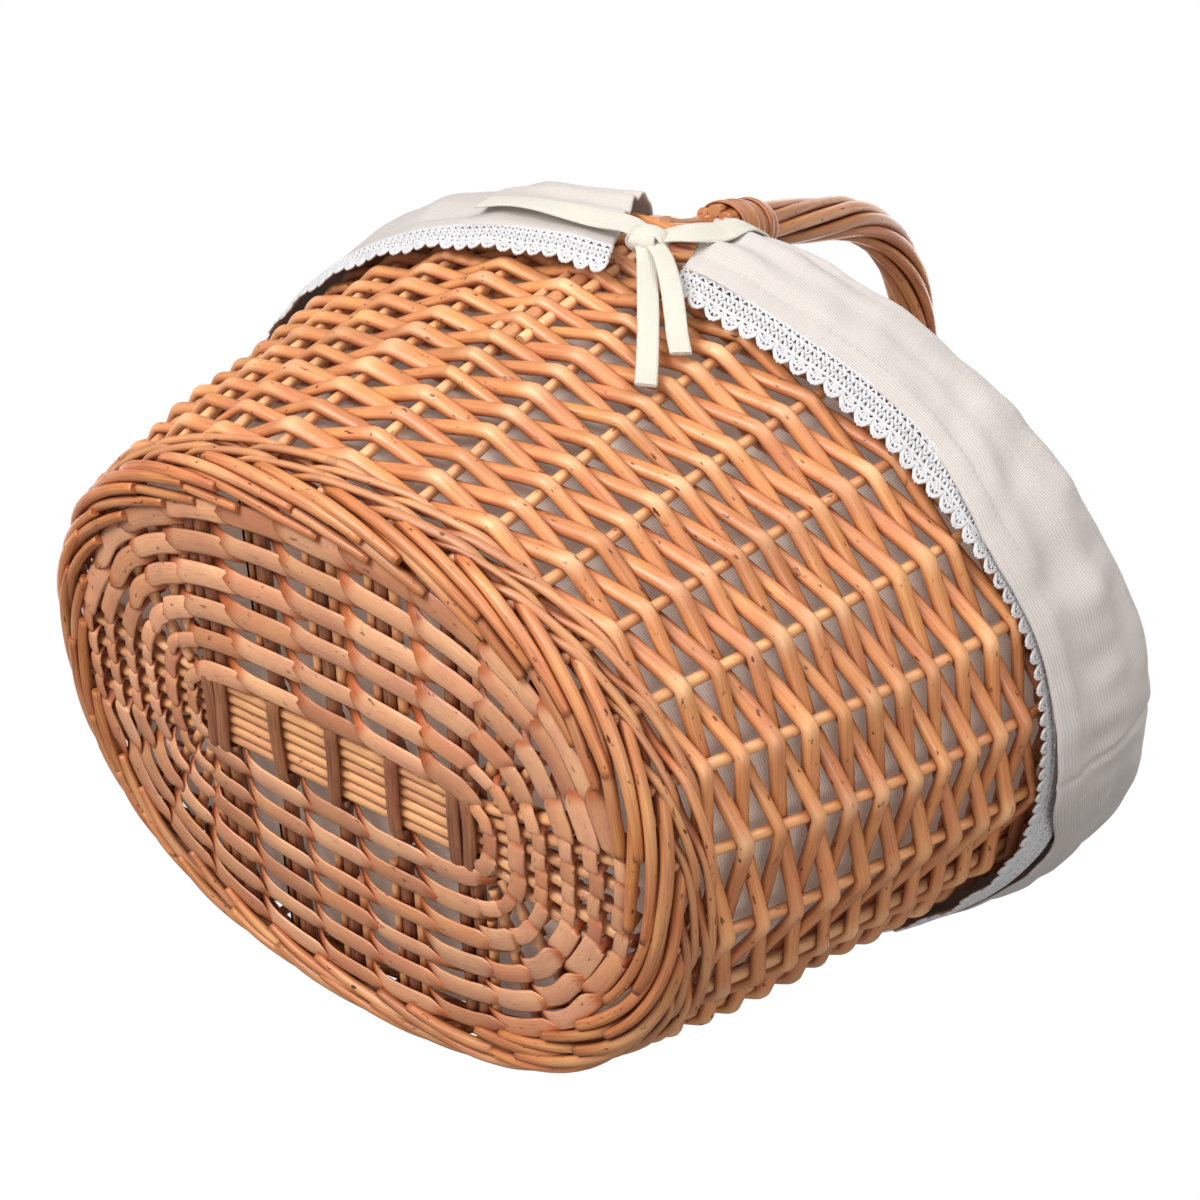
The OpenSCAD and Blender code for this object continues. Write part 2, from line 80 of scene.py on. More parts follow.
def makeCamera(p):
    # The columns of its matrix are right, up, back and the place
    data = bpy.data.cameras.new("camera")
    data.lens = p["lens"]
    data.sensor_width = 36
    data.clip_start = 0.01
    data.clip_end = 20
    camera = bpy.data.objects.new("camera", data)
    bpy.context.scene.collection.objects.link(camera)
    axes = np.eye(4)
    axes[:3, 0] = p["right"]
    axes[:3, 1] = -np.array(p["down"])
    axes[:3, 2] = -np.array(p["forward"])
    axes[:3, 3] = p["location"]
    camera.matrix_world = Matrix(axes.tolist())
    bpy.context.scene.camera = camera


makeCamera(cameraPlace)
print("camera placed")

# The oval wall that every woven piece follows
wall = {
    "stakes": 30, "bow": 0.5, "footBorderWide": 13.0, "rimBorderWide": 14.0,
    "power": 2.25, "powerDrop": 0.27, "leftPinch": 0.035,
    "changeLow": 15, "changeHigh": 110,  # the drop and the pinch come in between these heights
}
rimHigh = boxMm("rim_border")[1]
footHigh = boxMm("foot_border")[1]
wallTop = rimHigh[2]


def flare(z):
    # Share of the flare at height z: (1 + bow) u - bow u^2, with u = z / wallTop, at most 1
    u = np.minimum(z / wallTop, 1)
    return (1 + wall["bow"]) * u - wall["bow"] * u * u


rimHalf = rimHigh[:2] - wall["rimBorderWide"] / 2
footHalf = footHigh[:2] - wall["footBorderWide"] / 2
footShare = flare(footHigh[2] / 2)
baseHalf = (footHalf - rimHalf * footShare) / (1 - footShare)


def ovalPoint(t, a, b, power):
    # Superellipse: (a sgn(cos t) |cos t|^(2/power), b sgn(sin t) |sin t|^(2/power))
    c, s = np.cos(t), np.sin(t)
    return a * np.sign(c) * np.abs(c) ** (2 / power), b * np.sign(s) * np.abs(s) ** (2 / power)


def wallPower(z):
    # The oval is squarer at the foot: power - powerDrop x smoothStep(z)
    return wall["power"] - wall["powerDrop"] * smoothStep(wall["changeLow"], wall["changeHigh"], z)


def pinch(z):
    # Share of its length that the left end keeps, 1 - leftPinch x smoothStep(z)
    return 1 - wall["leftPinch"] * smoothStep(wall["changeLow"], wall["changeHigh"], z)


def wallPoint(t, z, off=0.0):
    # Oval whose half axes grow with the flare of z, off millimetres outside the stake line
    t, z, off = np.broadcast_arrays(np.asarray(t, float), np.asarray(z, float), np.asarray(off, float))
    f = flare(z)
    x, y = ovalPoint(t, baseHalf[0] + (rimHalf[0] - baseHalf[0]) * f + off,
                     baseHalf[1] + (rimHalf[1] - baseHalf[1]) * f + off, wallPower(z))
    return np.stack([np.where(x < 0, x * pinch(z), x), y, z], -1)


def wallNormal(t, z):
    # Outward normal: (dP/dt) x (dP/dz), by small steps
    t, z = np.broadcast_arrays(np.asarray(t, float), np.asarray(z, float))
    step = 0.02
    alongT = wallPoint(t + step, z) - wallPoint(t - step, z)
    alongZ = wallPoint(t, z) - wallPoint(t, z - 2)
    return unit(np.cross(alongT, alongZ))


# Run along the wall at half its height from the middle of the front, counted in stake pitches
turnTable = np.linspace(-np.pi / 2, 1.5 * np.pi, 2881)
lineTable = wallPoint(turnTable, wallTop / 2)
runTable = np.r_[0, np.cumsum(np.linalg.norm(np.diff(lineTable, axis=0), axis=1))]
placeTable = runTable / runTable[-1] * wall["stakes"]


def placeAngle(place):
    # Parameter angle of a place counted in stake pitches from the middle of the front
    return np.interp(np.mod(place, wall["stakes"]), placeTable, turnTable)


def frontAngle(x, z, off=0.0):
    # Angle at which the front is x millimetres from its middle: -90 degrees + arcsin((x / a)^(power / 2))
    a = baseHalf[0] + (rimHalf[0] - baseHalf[0]) * flare(z) + off
    a = a * np.where(np.asarray(x) < 0, pinch(z), 1)
    return -np.pi / 2 + np.sign(x) * np.arcsin(np.minimum(np.abs(x) / a, 1) ** (wallPower(z) / 2))


def wander(rng, rods, steps, waves, closed=True):
    # Sum of sine waves with seeded phases, about -1..1, which closes on itself when asked
    s = np.linspace(0, fullTurn, steps, endpoint=not closed)
    k = np.arange(1, waves + 1) * (1.0 if closed else 0.5)
    phase = rng.uniform(0, fullTurn, (rods, waves, 1))
    return (np.sin(k[:, None] * s + phase) / np.sqrt(waves)).sum(1)


# Swept rods, ribbons and threads
def sweep(line, face, wide, thick, sides=8, square=2.0, closed=False, rng=None, pale=0.0, tone=None):
    # P(u, v) = line(u) + wide C(v) side(u) + thick S(v) up(u); side = ahead x face, up = side x ahead,
    # and C, S are cos and sin to the power 2 / square, so that a high square gives a flat ribbon.
    # line holds (rods, steps) points, face the way each looks, pale the share of wear and painted highlight,
    # tone each rod's shade
    line = np.asarray(line, float)
    rods, steps = line.shape[:2]
    if closed:
        ahead = np.roll(line, -1, 1) - np.roll(line, 1, 1)
        lap = np.linalg.norm(np.roll(line, -1, 1) - line, axis=2)
    else:
        ahead = np.gradient(line, axis=1)
        lap = np.linalg.norm(np.diff(line, axis=1, append=line[:, -1:]), axis=2)
    ahead = unit(ahead)
    side = unit(np.cross(ahead, np.broadcast_to(face, line.shape)))
    up = np.cross(side, ahead)
    turn = fullTurn * np.arange(sides) / sides
    c = np.sign(np.cos(turn)) * np.abs(np.cos(turn)) ** (2 / square)
    s = np.sign(np.sin(turn)) * np.abs(np.sin(turn)) ** (2 / square)
    wide = np.broadcast_to(wide, (rods, steps))[..., None] * c
    thick = np.broadcast_to(thick, (rods, steps))[..., None] * s
    points = line[:, :, None] + wide[..., None] * side[:, :, None] + thick[..., None] * up[:, :, None]
    rng = rng or np.random.default_rng(3)
    run = np.cumsum(lap, axis=1) - lap + rng.uniform(0, 900, (rods, 1))
    across = wide + rng.uniform(0, 90, (rods, 1, 1))
    grain = np.stack([np.broadcast_to(run[..., None], wide.shape), across, thick], -1)
    tone = rng.uniform(0, 1, rods) if tone is None else tone
    index = np.arange(rods * steps * sides).reshape(rods, steps, sides)
    after = np.roll(index, -1, 2)
    last = steps if closed else steps - 1
    corners = [index, np.roll(index, -1, 1), np.roll(after, -1, 1), after]
    quads = np.stack([corner[:, :last] for corner in corners], -1).reshape(-1, 4)
    caps = [] if closed else [index[:, 0], index[:, -1, ::-1]]
    pale = np.asarray(pale, float)[..., None] if np.ndim(pale) == 2 else pale
    return {
        "points": points.reshape(-1, 3), "faces": [quads], "caps": caps, "grain": grain.reshape(-1, 3),
        "tone": np.repeat(tone, steps * sides),
        "pale": np.broadcast_to(pale, (rods, steps, sides)).reshape(-1),
    }


def gridPart(points, grain, closedU=False, pale=0.0):
    # Quads between neighbouring points of a (U, V) grid, wound so that dP/du x dP/dv looks out
    nu, nv = points.shape[:2]
    index = np.arange(nu * nv).reshape(nu, nv)
    if closedU:
        index = np.vstack([index, index[:1]])
    quads = np.stack([index[:-1, :-1], index[1:, :-1], index[1:, 1:], index[:-1, 1:]], -1).reshape(-1, 4)
    return {"points": points.reshape(-1, 3), "faces": [quads], "caps": [], "grain": grain.reshape(-1, 3),
            "tone": np.full(nu * nv, 0.5), "pale": np.broadcast_to(pale, (nu, nv)).reshape(-1)}


def makePiece(name, parts, material, nodes):
    # Joins the parts in one mesh in metres, with their grain, tone and pale values at its points. Side
    # faces are smooth and end caps flat, and a face starts at the sum of the sizes before it
    mesh = bpy.data.meshes.new(name)
    loops, sizes, smooth, start = [], [], [], 0
    for p in parts:
        for faces, isSmooth in [(f, True) for f in p["faces"]] + [(f, False) for f in p["caps"]]:
            loops.append((faces + start).ravel())
            sizes.append(np.full(len(faces), faces.shape[1]))
            smooth.append(np.full(len(faces), isSmooth))
        start += len(p["points"])
    loops, sizes, smooth = np.concatenate(loops), np.concatenate(sizes), np.concatenate(smooth)
    mesh.vertices.add(start)
    points = np.concatenate([p["points"] for p in parts]) * mm
    mesh.vertices.foreach_set("co", points.astype(np.float32).ravel())
    mesh.loops.add(len(loops))
    mesh.loops.foreach_set("vertex_index", loops.astype(np.int32))
    mesh.polygons.add(len(sizes))
    mesh.polygons.foreach_set("loop_start", (np.cumsum(sizes) - sizes).astype(np.int32))
    mesh.polygons.foreach_set("use_smooth", smooth)
    fields = (("grain", "FLOAT_VECTOR", "vector"), ("tone", "FLOAT", "value"), ("pale", "FLOAT", "value"))
    for key, kind, field in fields:
        values = np.concatenate([p[key] for p in parts]).astype(np.float32)
        mesh.attributes.new(key, kind, "POINT").data.foreach_set(field, values.ravel())
    mesh.update(calc_edges=True)
    mesh.validate()
    mesh.materials.append(material)
    piece = bpy.data.objects.new(name, mesh)
    bpy.context.scene.collection.objects.link(piece)
    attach(piece, "root")
    if nodes:
        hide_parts(*nodes)
    print(f"{name}: {len(sizes)} faces")
    return piece


def thicken(piece, thick):
    # A cloth sheet gets its thickness in millimetres, half to each side of its surface
    solid = piece.modifiers.new("thickness", "SOLIDIFY")
    solid.thickness, solid.offset = thick * mm, 0
    return piece


# Materials
def addNode(tree, kind, inputs=None, **settings):
    # New node with its settings; an input that is a socket is linked, any other is set
    node = tree.nodes.new(kind)
    for key, value in settings.items():
        setattr(node, key, value)
    for key, value in (inputs or {}).items():
        if isinstance(value, bpy.types.NodeSocket):
            tree.links.new(value, node.inputs[key])
        else:
            node.inputs[key].default_value = value
    return node


def mixColour(tree, factor, a, b, blend="MIX"):
    # Colour a (1 - factor) + b factor, or a times b for a blend of MULTIPLY
    inputs = {0: factor, 6: a, 7: b}
    return addNode(tree, "ShaderNodeMix", inputs, data_type="RGBA", blend_type=blend).outputs[2]


def carried(tree, name, output="Fac"):
    # Value that the mesh carries at its points under this name
    return addNode(tree, "ShaderNodeAttribute", attribute_name=name).outputs[output]


def maths(tree, operation, a, b=0.0, clamp=False):
    # One step of sums on two values
    return addNode(tree, "ShaderNodeMath", {0: a, 1: b}, operation=operation, use_clamp=clamp).outputs[0]


def spread(tree, value, low, high, toLow=0.0, toHigh=1.0):
    # Straight line from (low, toLow) to (high, toHigh), level outside
    return addNode(tree, "ShaderNodeMapRange", {0: value, 1: low, 2: high, 3: toLow, 4: toHigh}).outputs[0]


def noise(tree, vector, scale, detail=3.0, roughness=0.55):
    # Noise on a vector that is first stretched by scale along each of its axes
    placed = addNode(tree, "ShaderNodeMapping", {"Vector": vector, "Scale": scale})
    return addNode(tree, "ShaderNodeTexNoise", {"Vector": placed.outputs[0], "Scale": 1.0, "Detail": detail,
                                                "Roughness": roughness}).outputs["Fac"]


def newGroup(name, inputs, outputs):
    # Empty shader group with these sockets, each given as its name and kind
    tree = bpy.data.node_groups.new(name, "ShaderNodeTree")
    for key, kind in inputs:
        tree.interface.new_socket(key, in_out="INPUT", socket_type="NodeSocket" + kind)
    for key, kind in outputs:
        tree.interface.new_socket(key, in_out="OUTPUT", socket_type="NodeSocket" + kind)
    return tree, tree.nodes.new("NodeGroupInput"), tree.nodes.new("NodeGroupOutput")


def makeWillowGroup():
    # Long fibres, blotches, small dark knots and pale places of wear and painted highlight, all laid along
    # the rod's own grain
    tree, given, out = newGroup(
        "willowGrain",
        [("Bark", "Color"), ("Shade", "Color"), ("WearAndHighlight", "Color"), ("Streaks", "Float"), ("Knots", "Float"),
         ("Gloss", "Float")],
        [("Colour", "Color"), ("Roughness", "Float"), ("Height", "Float")])
    grain = carried(tree, "grain", "Vector")
    tone = carried(tree, "tone")
    wearAndHighlight = carried(tree, "pale")
    fibre = noise(tree, grain, (0.05, 1.5, 1.5), 5.0, 0.62)
    fine = noise(tree, grain, (0.3, 5.0, 5.0), 3.0)
    blotch = noise(tree, grain, (0.035, 0.1, 0.1), 2.0)
    speck = noise(tree, grain, (0.22, 0.5, 0.5), 2.0)
    streakMask = maths(tree, "MULTIPLY", spread(tree, fibre, 0.42, 0.72), given.outputs["Streaks"])
    colour = mixColour(tree, streakMask, given.outputs["Bark"], given.outputs["Shade"])
    wearAndHighlightMask = maths(tree, "MULTIPLY", wearAndHighlight, spread(tree, fine, 0.25, 0.6, 0.55, 1.0), True)
    colour = mixColour(tree, wearAndHighlightMask, colour, given.outputs["WearAndHighlight"])
    knotMask = maths(tree, "MULTIPLY", spread(tree, speck, 0.66, 0.73), given.outputs["Knots"], True)
    dark = mixColour(tree, 1.0, given.outputs["Shade"], (0.35, 0.28, 0.25, 1), "MULTIPLY")
    colour = mixColour(tree, knotMask, colour, dark)
    uneven = spread(tree, blotch, 0.3, 0.7, -0.1, 0.1)
    value = maths(tree, "ADD", spread(tree, tone, 0, 1, 0.84, 1.12), uneven)
    hue = spread(tree, blotch, 0.3, 0.7, 0.492, 0.508)
    colour = addNode(tree, "ShaderNodeHueSaturation", {"Color": colour, "Value": value, "Hue": hue,
                                                       "Saturation": 1.0, "Fac": 1.0}).outputs[0]
    rough = maths(tree, "ADD", given.outputs["Gloss"], spread(tree, fibre, 0.3, 0.7, -0.07, 0.14))
    sunk = maths(tree, "MULTIPLY", knotMask, 0.6)
    height = maths(tree, "SUBTRACT", maths(tree, "MULTIPLY", fibre, 0.9), sunk)
    height = maths(tree, "ADD", height, maths(tree, "MULTIPLY", fine, 0.25))
    tree.links.new(colour, out.inputs["Colour"])
    tree.links.new(rough, out.inputs["Roughness"])
    tree.links.new(height, out.inputs["Height"])
    return tree


def makeWeaveGroup():
    # Plain weave: a warp and a weft of sine threads in turn on top, with uneven threads and slubs
    tree, given, out = newGroup(
        "threadWeave",
        [("Thread", "Color"), ("Gap", "Color"), ("Pitch", "Float"), ("Depth", "Float")],
        [("Colour", "Color"), ("Height", "Float")])
    grain = carried(tree, "grain", "Vector")
    sway = noise(tree, grain, (0.12, 0.12, 0.12), 2.0)
    parts = addNode(tree, "ShaderNodeSeparateXYZ", {"Vector": grain})
    step = maths(tree, "DIVIDE", fullTurn / 2, given.outputs["Pitch"])
    waves = []
    for axis in (0, 1):
        place = maths(tree, "ADD", parts.outputs[axis], maths(tree, "MULTIPLY", sway, 1.3))
        waves.append(maths(tree, "SINE", maths(tree, "MULTIPLY", place, step)))
    over = maths(tree, "MULTIPLY", waves[0], waves[1])
    threads = maths(tree, "ABSOLUTE", over)
    slubX = noise(tree, grain, (0.03, 1.1, 1.0), 2.0)
    slubY = noise(tree, grain, (1.1, 0.03, 1.0), 2.0)
    slub = maths(tree, "MAXIMUM", slubX, slubY)
    mask = maths(tree, "MULTIPLY", spread(tree, threads, 0.05, 0.5, 1.0, 0.0), given.outputs["Depth"])
    colour = mixColour(tree, mask, given.outputs["Thread"], given.outputs["Gap"])
    stain = noise(tree, grain, (0.02, 0.02, 0.02), 3.0)
    uneven = spread(tree, stain, 0.3, 0.7, -0.025, 0.025)
    value = maths(tree, "ADD", spread(tree, slub, 0.45, 0.75, 0.96, 1.04), uneven)
    colour = addNode(tree, "ShaderNodeHueSaturation", {"Color": colour, "Value": value}).outputs[0]
    height = maths(tree, "ADD", threads, maths(tree, "MULTIPLY", slub, 0.8))
    tree.links.new(colour, out.inputs["Colour"])
    tree.links.new(height, out.inputs["Height"])
    return tree


willowGroup = makeWillowGroup()
weaveGroup = makeWeaveGroup()


def startMaterial(name, group, values):
    # New material with the group placed in it and its values set
    material = bpy.data.materials.new(name)
    material.use_nodes = True
    tree = material.node_tree
    shader = tree.nodes["Principled BSDF"]
    effect = addNode(tree, "ShaderNodeGroup", node_tree=group)
    for key, value in values.items():
        effect.inputs[key].default_value = value
    return material, tree, shader, effect


def bumpOn(tree, shader, height, strength, distance):
    # The height leans the surface's normal, with its full depth given in millimetres
    inputs = {"Height": height, "Strength": strength, "Distance": distance * mm}
    bump = addNode(tree, "ShaderNodeBump", inputs)
    tree.links.new(bump.outputs[0], shader.inputs["Normal"])


def willowMaterial(name, bark, shade, wearAndHighlight, streaks, knots, gloss, bump):
    # Waxed willow: three colours of the grain, its streaks and knots, its least roughness and its relief
    material, tree, shader, effect = startMaterial(name, willowGroup, {
        "Bark": rgb(*bark), "Shade": rgb(*shade), "WearAndHighlight": rgb(*wearAndHighlight), "Streaks": streaks, "Knots": knots,
        "Gloss": gloss})
    tree.links.new(effect.outputs["Roughness"], shader.inputs["Roughness"])
    # Painted shade where rods touch: the colour darkens towards a deeper brown as the open share of the sky
    # falls
    openSky = addNode(tree, "ShaderNodeAmbientOcclusion", {"Distance": 9 * mm}, samples=4).outputs["AO"]
    paintedShadeShare = spread(tree, openSky, 0.75, 0.1, 0.0, 0.85)
    # The deeper brown that the painted shade multiplies in
    deep = mixColour(tree, 1.0, effect.outputs["Colour"], rgb(168, 104, 72), "MULTIPLY")
    tree.links.new(mixColour(tree, paintedShadeShare, effect.outputs["Colour"], deep), shader.inputs["Base Color"])
    shader.inputs["Coat Weight"].default_value = 0.2
    shader.inputs["Coat Roughness"].default_value = 0.3
    bumpOn(tree, shader, effect.outputs["Height"], bump, 0.25)
    return material


def clothMaterial(name, thread, gapColour, pitch, depth, bump, stitchAt=0.0, through=0.0, paintedGlow=0.0):
    # Plain cloth: thread and gap colours, pitch in millimetres, depth of the gaps' colour and relief
    material, tree, shader, effect = startMaterial(name, weaveGroup, {
        "Thread": rgb(*thread), "Gap": rgb(*gapColour), "Pitch": pitch, "Depth": depth})
    shader.inputs["Roughness"].default_value = 0.85
    shader.inputs["Sheen Weight"].default_value = 0.25
    shader.inputs["Sheen Roughness"].default_value = 0.5
    height = effect.outputs["Height"]
    colour = effect.outputs["Colour"]
    if stitchAt > 0:
        # Running stitches lie stitchAt millimetres inside the edge that the pale value counts from
        edge = carried(tree, "pale")
        grain = carried(tree, "grain", "Vector")
        along = addNode(tree, "ShaderNodeSeparateXYZ", {"Vector": grain}).outputs[0]
        near = maths(tree, "ABSOLUTE", maths(tree, "SUBTRACT", edge, stitchAt))
        line = spread(tree, near, 0.25, 0.7, 1.0, 0.0)
        dash = spread(tree, maths(tree, "SINE", maths(tree, "MULTIPLY", along, 2.4)), -0.3, 0.3)
        stitch = maths(tree, "MULTIPLY", line, dash)
        fold = spread(tree, edge, stitchAt, stitchAt + 0.6, 1.0, 0.0)
        height = maths(tree, "ADD", height, maths(tree, "MULTIPLY", fold, 1.6))
        height = maths(tree, "SUBTRACT", height, maths(tree, "MULTIPLY", stitch, 0.9))
        colour = mixColour(tree, maths(tree, "MULTIPLY", stitch, 0.14), colour, rgb(150, 140, 130))
    tree.links.new(colour, shader.inputs["Base Color"])
    bumpOn(tree, shader, height, bump, 0.3)
    if paintedGlow > 0:
        # Painted light: the cloth glows a little all over in its own colour, standing in for light caught
        # inside the bag
        tree.links.new(effect.outputs["Colour"], shader.inputs["Emission Color"])
        shader.inputs["Emission Strength"].default_value = paintedGlow
    if through > 0:
        # Thin linen lets some light through from its other side
        lit = addNode(tree, "ShaderNodeBsdfTranslucent", {"Color": effect.outputs["Colour"]})
        mix = addNode(tree, "ShaderNodeMixShader", {0: through, 1: shader.outputs[0], 2: lit.outputs[0]})
        tree.links.new(mix.outputs[0], tree.nodes["Material Output"].inputs["Surface"])
    return material


# Bark, shade and pale colours (the pale one for wear and painted highlight), then streaks, knots, roughness
# and relief
willowLooks = {
    "rod": [(216, 146, 94), (176, 94, 46), (240, 192, 146), 0.65, 1.0, 0.38, 0.7],
    "border": [(206, 130, 78), (150, 78, 40), (232, 180, 132), 0.9, 1.0, 0.4, 0.8],
    "stake": [(222, 152, 98), (180, 104, 56), (240, 192, 142), 0.6, 0.8, 0.36, 0.7],
    "slit": [(158, 100, 66), (98, 54, 32), (190, 134, 98), 1.0, 0.6, 0.45, 0.9],
    "long": [(224, 156, 100), (190, 112, 62), (238, 190, 142), 0.8, 0.7, 0.36, 0.7],
    "ribbon": [(188, 100, 50), (140, 68, 32), (232, 174, 134), 0.7, 0.7, 0.42, 1.0],
    "handle": [(196, 124, 72), (138, 74, 38), (228, 170, 118), 0.95, 1.0, 0.38, 0.9],
    "skein": [(170, 100, 58), (108, 56, 30), (212, 152, 108), 1.0, 0.6, 0.42, 1.0],
}
willow = {name: willowMaterial("willow" + name.capitalize(), *look) for name, look in willowLooks.items()}

# Thread and gap colours, then pitch, depth of colour and relief
cloth = {
    "bag": clothMaterial("linenBag", (240, 228, 218), (196, 168, 150), 0.85, 0.7, 0.5, through=0.35,
                         paintedGlow=0.1),
    "cuff": clothMaterial("linenCuff", (223, 216, 210), (172, 157, 151), 0.72, 0.6, 0.35, stitchAt=6.0,
                          through=0.15),
    "lace": clothMaterial("laceThread", (226, 225, 226), (196, 193, 196), 0.35, 0.5, 0.5),
    "tape": clothMaterial("cottonTape", (226, 221, 208), (186, 178, 162), 0.6, 0.75, 0.6),
}
print("materials made")

# Side weave
sideWeave = {
    "rows": 26, "out": 4.1, "wide": 2.72, "thick": 2.15, "jitter": 0.45, "stepsPerPitch": 10, "seed": 11,
    "wideLeft": 0.32,  # how much flatter the rods at the left end are
}
weaveLow, weaveHigh = boxMm("side_weave")[0][2], boxMm("side_weave")[1][2]


def rounded(line, passes):
    # Softens a closed line's corners: each pass makes P a quarter of both neighbours and half itself
    for _ in range(passes):
        line = 0.25 * np.roll(line, 1, 1) + 0.5 * line + 0.25 * np.roll(line, -1, 1)
    return line


def softened(line, passes):
    # The same for an open line along its second axis, whose ends stay
    line = line.copy()
    for _ in range(passes):
        line[:, 1:-1] = 0.25 * line[:, :-2] + 0.5 * line[:, 1:-1] + 0.25 * line[:, 2:]
    return line


def makeSideWeave(p):
    # Row j stands out at stake i when i + j is even and in when it is odd; straight runs join the stakes
    rng = np.random.default_rng(p["seed"])
    stakes, steps = wall["stakes"], p["stepsPerPitch"]
    rows = np.arange(p["rows"])[:, None]
    places = np.arange(stakes)[None]
    sign = 1 - 2 * ((rows + places) % 2)
    pitch = (weaveHigh - weaveLow) / p["rows"]
    z = weaveLow + (rows + 0.5) * pitch + rng.normal(0, p["jitter"], (p["rows"], stakes))
    z = np.clip(z, weaveLow + 2, weaveHigh - 2)
    knots = wallPoint(placeAngle(places), z, sign * p["out"] * rng.uniform(0.92, 1.08, z.shape))
    share = np.arange(steps) / steps
    share = share - 0.09 * np.sin(fullTurn * share)
    line = knots[:, :, None] * (1 - share[:, None]) + np.roll(knots, -1, 1)[:, :, None] * share[:, None]
    line = rounded(line.reshape(p["rows"], stakes * steps, 3), 2)
    place = (np.arange(stakes)[:, None] + share).ravel()
    outward = wallNormal(placeAngle(place), rows * pitch + weaveLow + pitch / 2)
    size = 1 + 0.12 * wander(rng, p["rows"], place.size, 5) + rng.uniform(-0.07, 0.07, (p["rows"], 1))
    left = smoothStep(27, 24, place) * smoothStep(17, 21, place) + smoothStep(26.5, 28.5, place)
    flat = 1 + p["wideLeft"] * np.clip(left, 0, 1) * rng.uniform(0.2, 1, (p["rows"], 1))
    # Outside elbows take the pale colour, partly as wear and partly as painted highlight
    elbow = np.abs(np.cos(np.pi * place)) ** 12 * (np.cos(np.pi * (place + rows)) > 0)
    wearAndHighlight = elbow * rng.uniform(0.1, 0.95, (p["rows"], 1)) * 0.8
    wide, thick = p["wide"] * size * flat, p["thick"] * size / flat ** 0.5
    part = sweep(line, outward, wide, thick, 10, 2.2, True, rng, wearAndHighlight)
    makePiece("side_weave_rods", [part], willow["rod"], ["side_weave"])


makeSideWeave(sideWeave)

# Stakes
stakes = {"radius": 2.05, "foot": 9.0, "steps": 26, "seed": 5}
bowLow = boxMm("handle_bow")[0][2]


def makeStakes(p):
    # Upright rods on the wall; the front and back middle ones stop under the bow's ends
    rng = np.random.default_rng(p["seed"])
    place = np.arange(wall["stakes"])
    top = np.where(place % (wall["stakes"] // 2) == 0, bowLow - 0.3, weaveHigh + 4)
    z = p["foot"] + (top[:, None] - p["foot"]) * np.linspace(0, 1, p["steps"])
    t = placeAngle(place)[:, None]
    wearAndHighlight = 0.75 * rng.uniform(0.3, 1, (wall["stakes"], 1)) * np.ones_like(z)
    wide = p["radius"] * rng.uniform(0.92, 1.06, (wall["stakes"], 1))
    part = sweep(wallPoint(t, z), wallNormal(t, z), wide, p["radius"], 10, rng=rng, pale=wearAndHighlight)
    makePiece("stake_rods", [part], willow["stake"], ["stakes"])


makeStakes(stakes)

# Waling at the foot of the side
waling = {"rounds": 2, "out": 4.2, "radius": 1.55, "rise": 1.7, "stepsPerPitch": 8, "seed": 21}


def makeWaling(p):
    # Three rods in turn: each passes outside two stakes and inside the third, rising as it goes
    rng = np.random.default_rng(p["seed"])
    low, high = boxMm("foot_waling")[0][2], boxMm("foot_waling")[1][2]
    place = np.arange(wall["stakes"] * p["stepsPerPitch"]) / p["stepsPerPitch"]
    strand = np.arange(3)[:, None]
    phase = np.mod(place - strand - 0.5, 3)
    share = np.interp(phase, [0, 0.45, 1.6, 2.05, 2.4, 2.6, 3], [0, 0.95, 1.05, 0.1, -0.95, -0.95, 0])
    off = share * p["out"]
    climb = np.interp(phase, [0, 2, 2.5, 3], [-1, 1, 0.9, -1]) * p["rise"]
    parts = []
    for k in range(p["rounds"]):
        z = low + (high - low) * (k + 0.55) / p["rounds"] + climb + 0.5 * wander(rng, 3, place.size, 7)
        line = rounded(wallPoint(placeAngle(place), z, off + 0.5 * wander(rng, 3, place.size, 6)), 1)
        size = p["radius"] * (1 + 0.16 * wander(rng, 3, place.size, 4))
        parts.append(sweep(line, wallNormal(placeAngle(place), z), size, size * 0.9, 8, closed=True, rng=rng,
                           pale=0.35 * (off > 3) * np.ones_like(z)))
    makePiece("foot_waling_rods", parts, willow["border"], ["foot_waling"])


makeWaling(waling)

# Foot border and rim border: off and z at the shares of a rod's run that "run" lists
footBorder = {"radius": 2.2, "length": 2.7, "steps": 26, "seed": 31, "shift": 0.0,
              "run": [0, 0.12, 0.3, 0.5, 0.75, 1], "off": [0.5, 3.4, 4.4, 4.2, 2.4, -0.5],
              "z": [14, 9.8, 7.0, 4.6, 2.9, 2.6]}
footTips = {"radius": 2.15, "length": 2.5, "steps": 26, "seed": 32, "shift": 0.5,
            "run": [0, 0.12, 0.3, 0.5, 0.75, 1], "off": [-2, 0.6, 0.4, -1.4, -4.6, -7.6],
            "z": [11, 8.0, 5.2, 3.4, 2.6, 3.2]}
rimBorder = {"radius": 2.3, "length": 2.3, "steps": 22, "seed": 33, "shift": 0.0,
             "run": [0, 0.15, 0.4, 0.7, 1], "off": [0, -4.2, -1.0, 4.4, 5.2],
             "z": [176, 182.5, 185.6, 183.5, 180]}


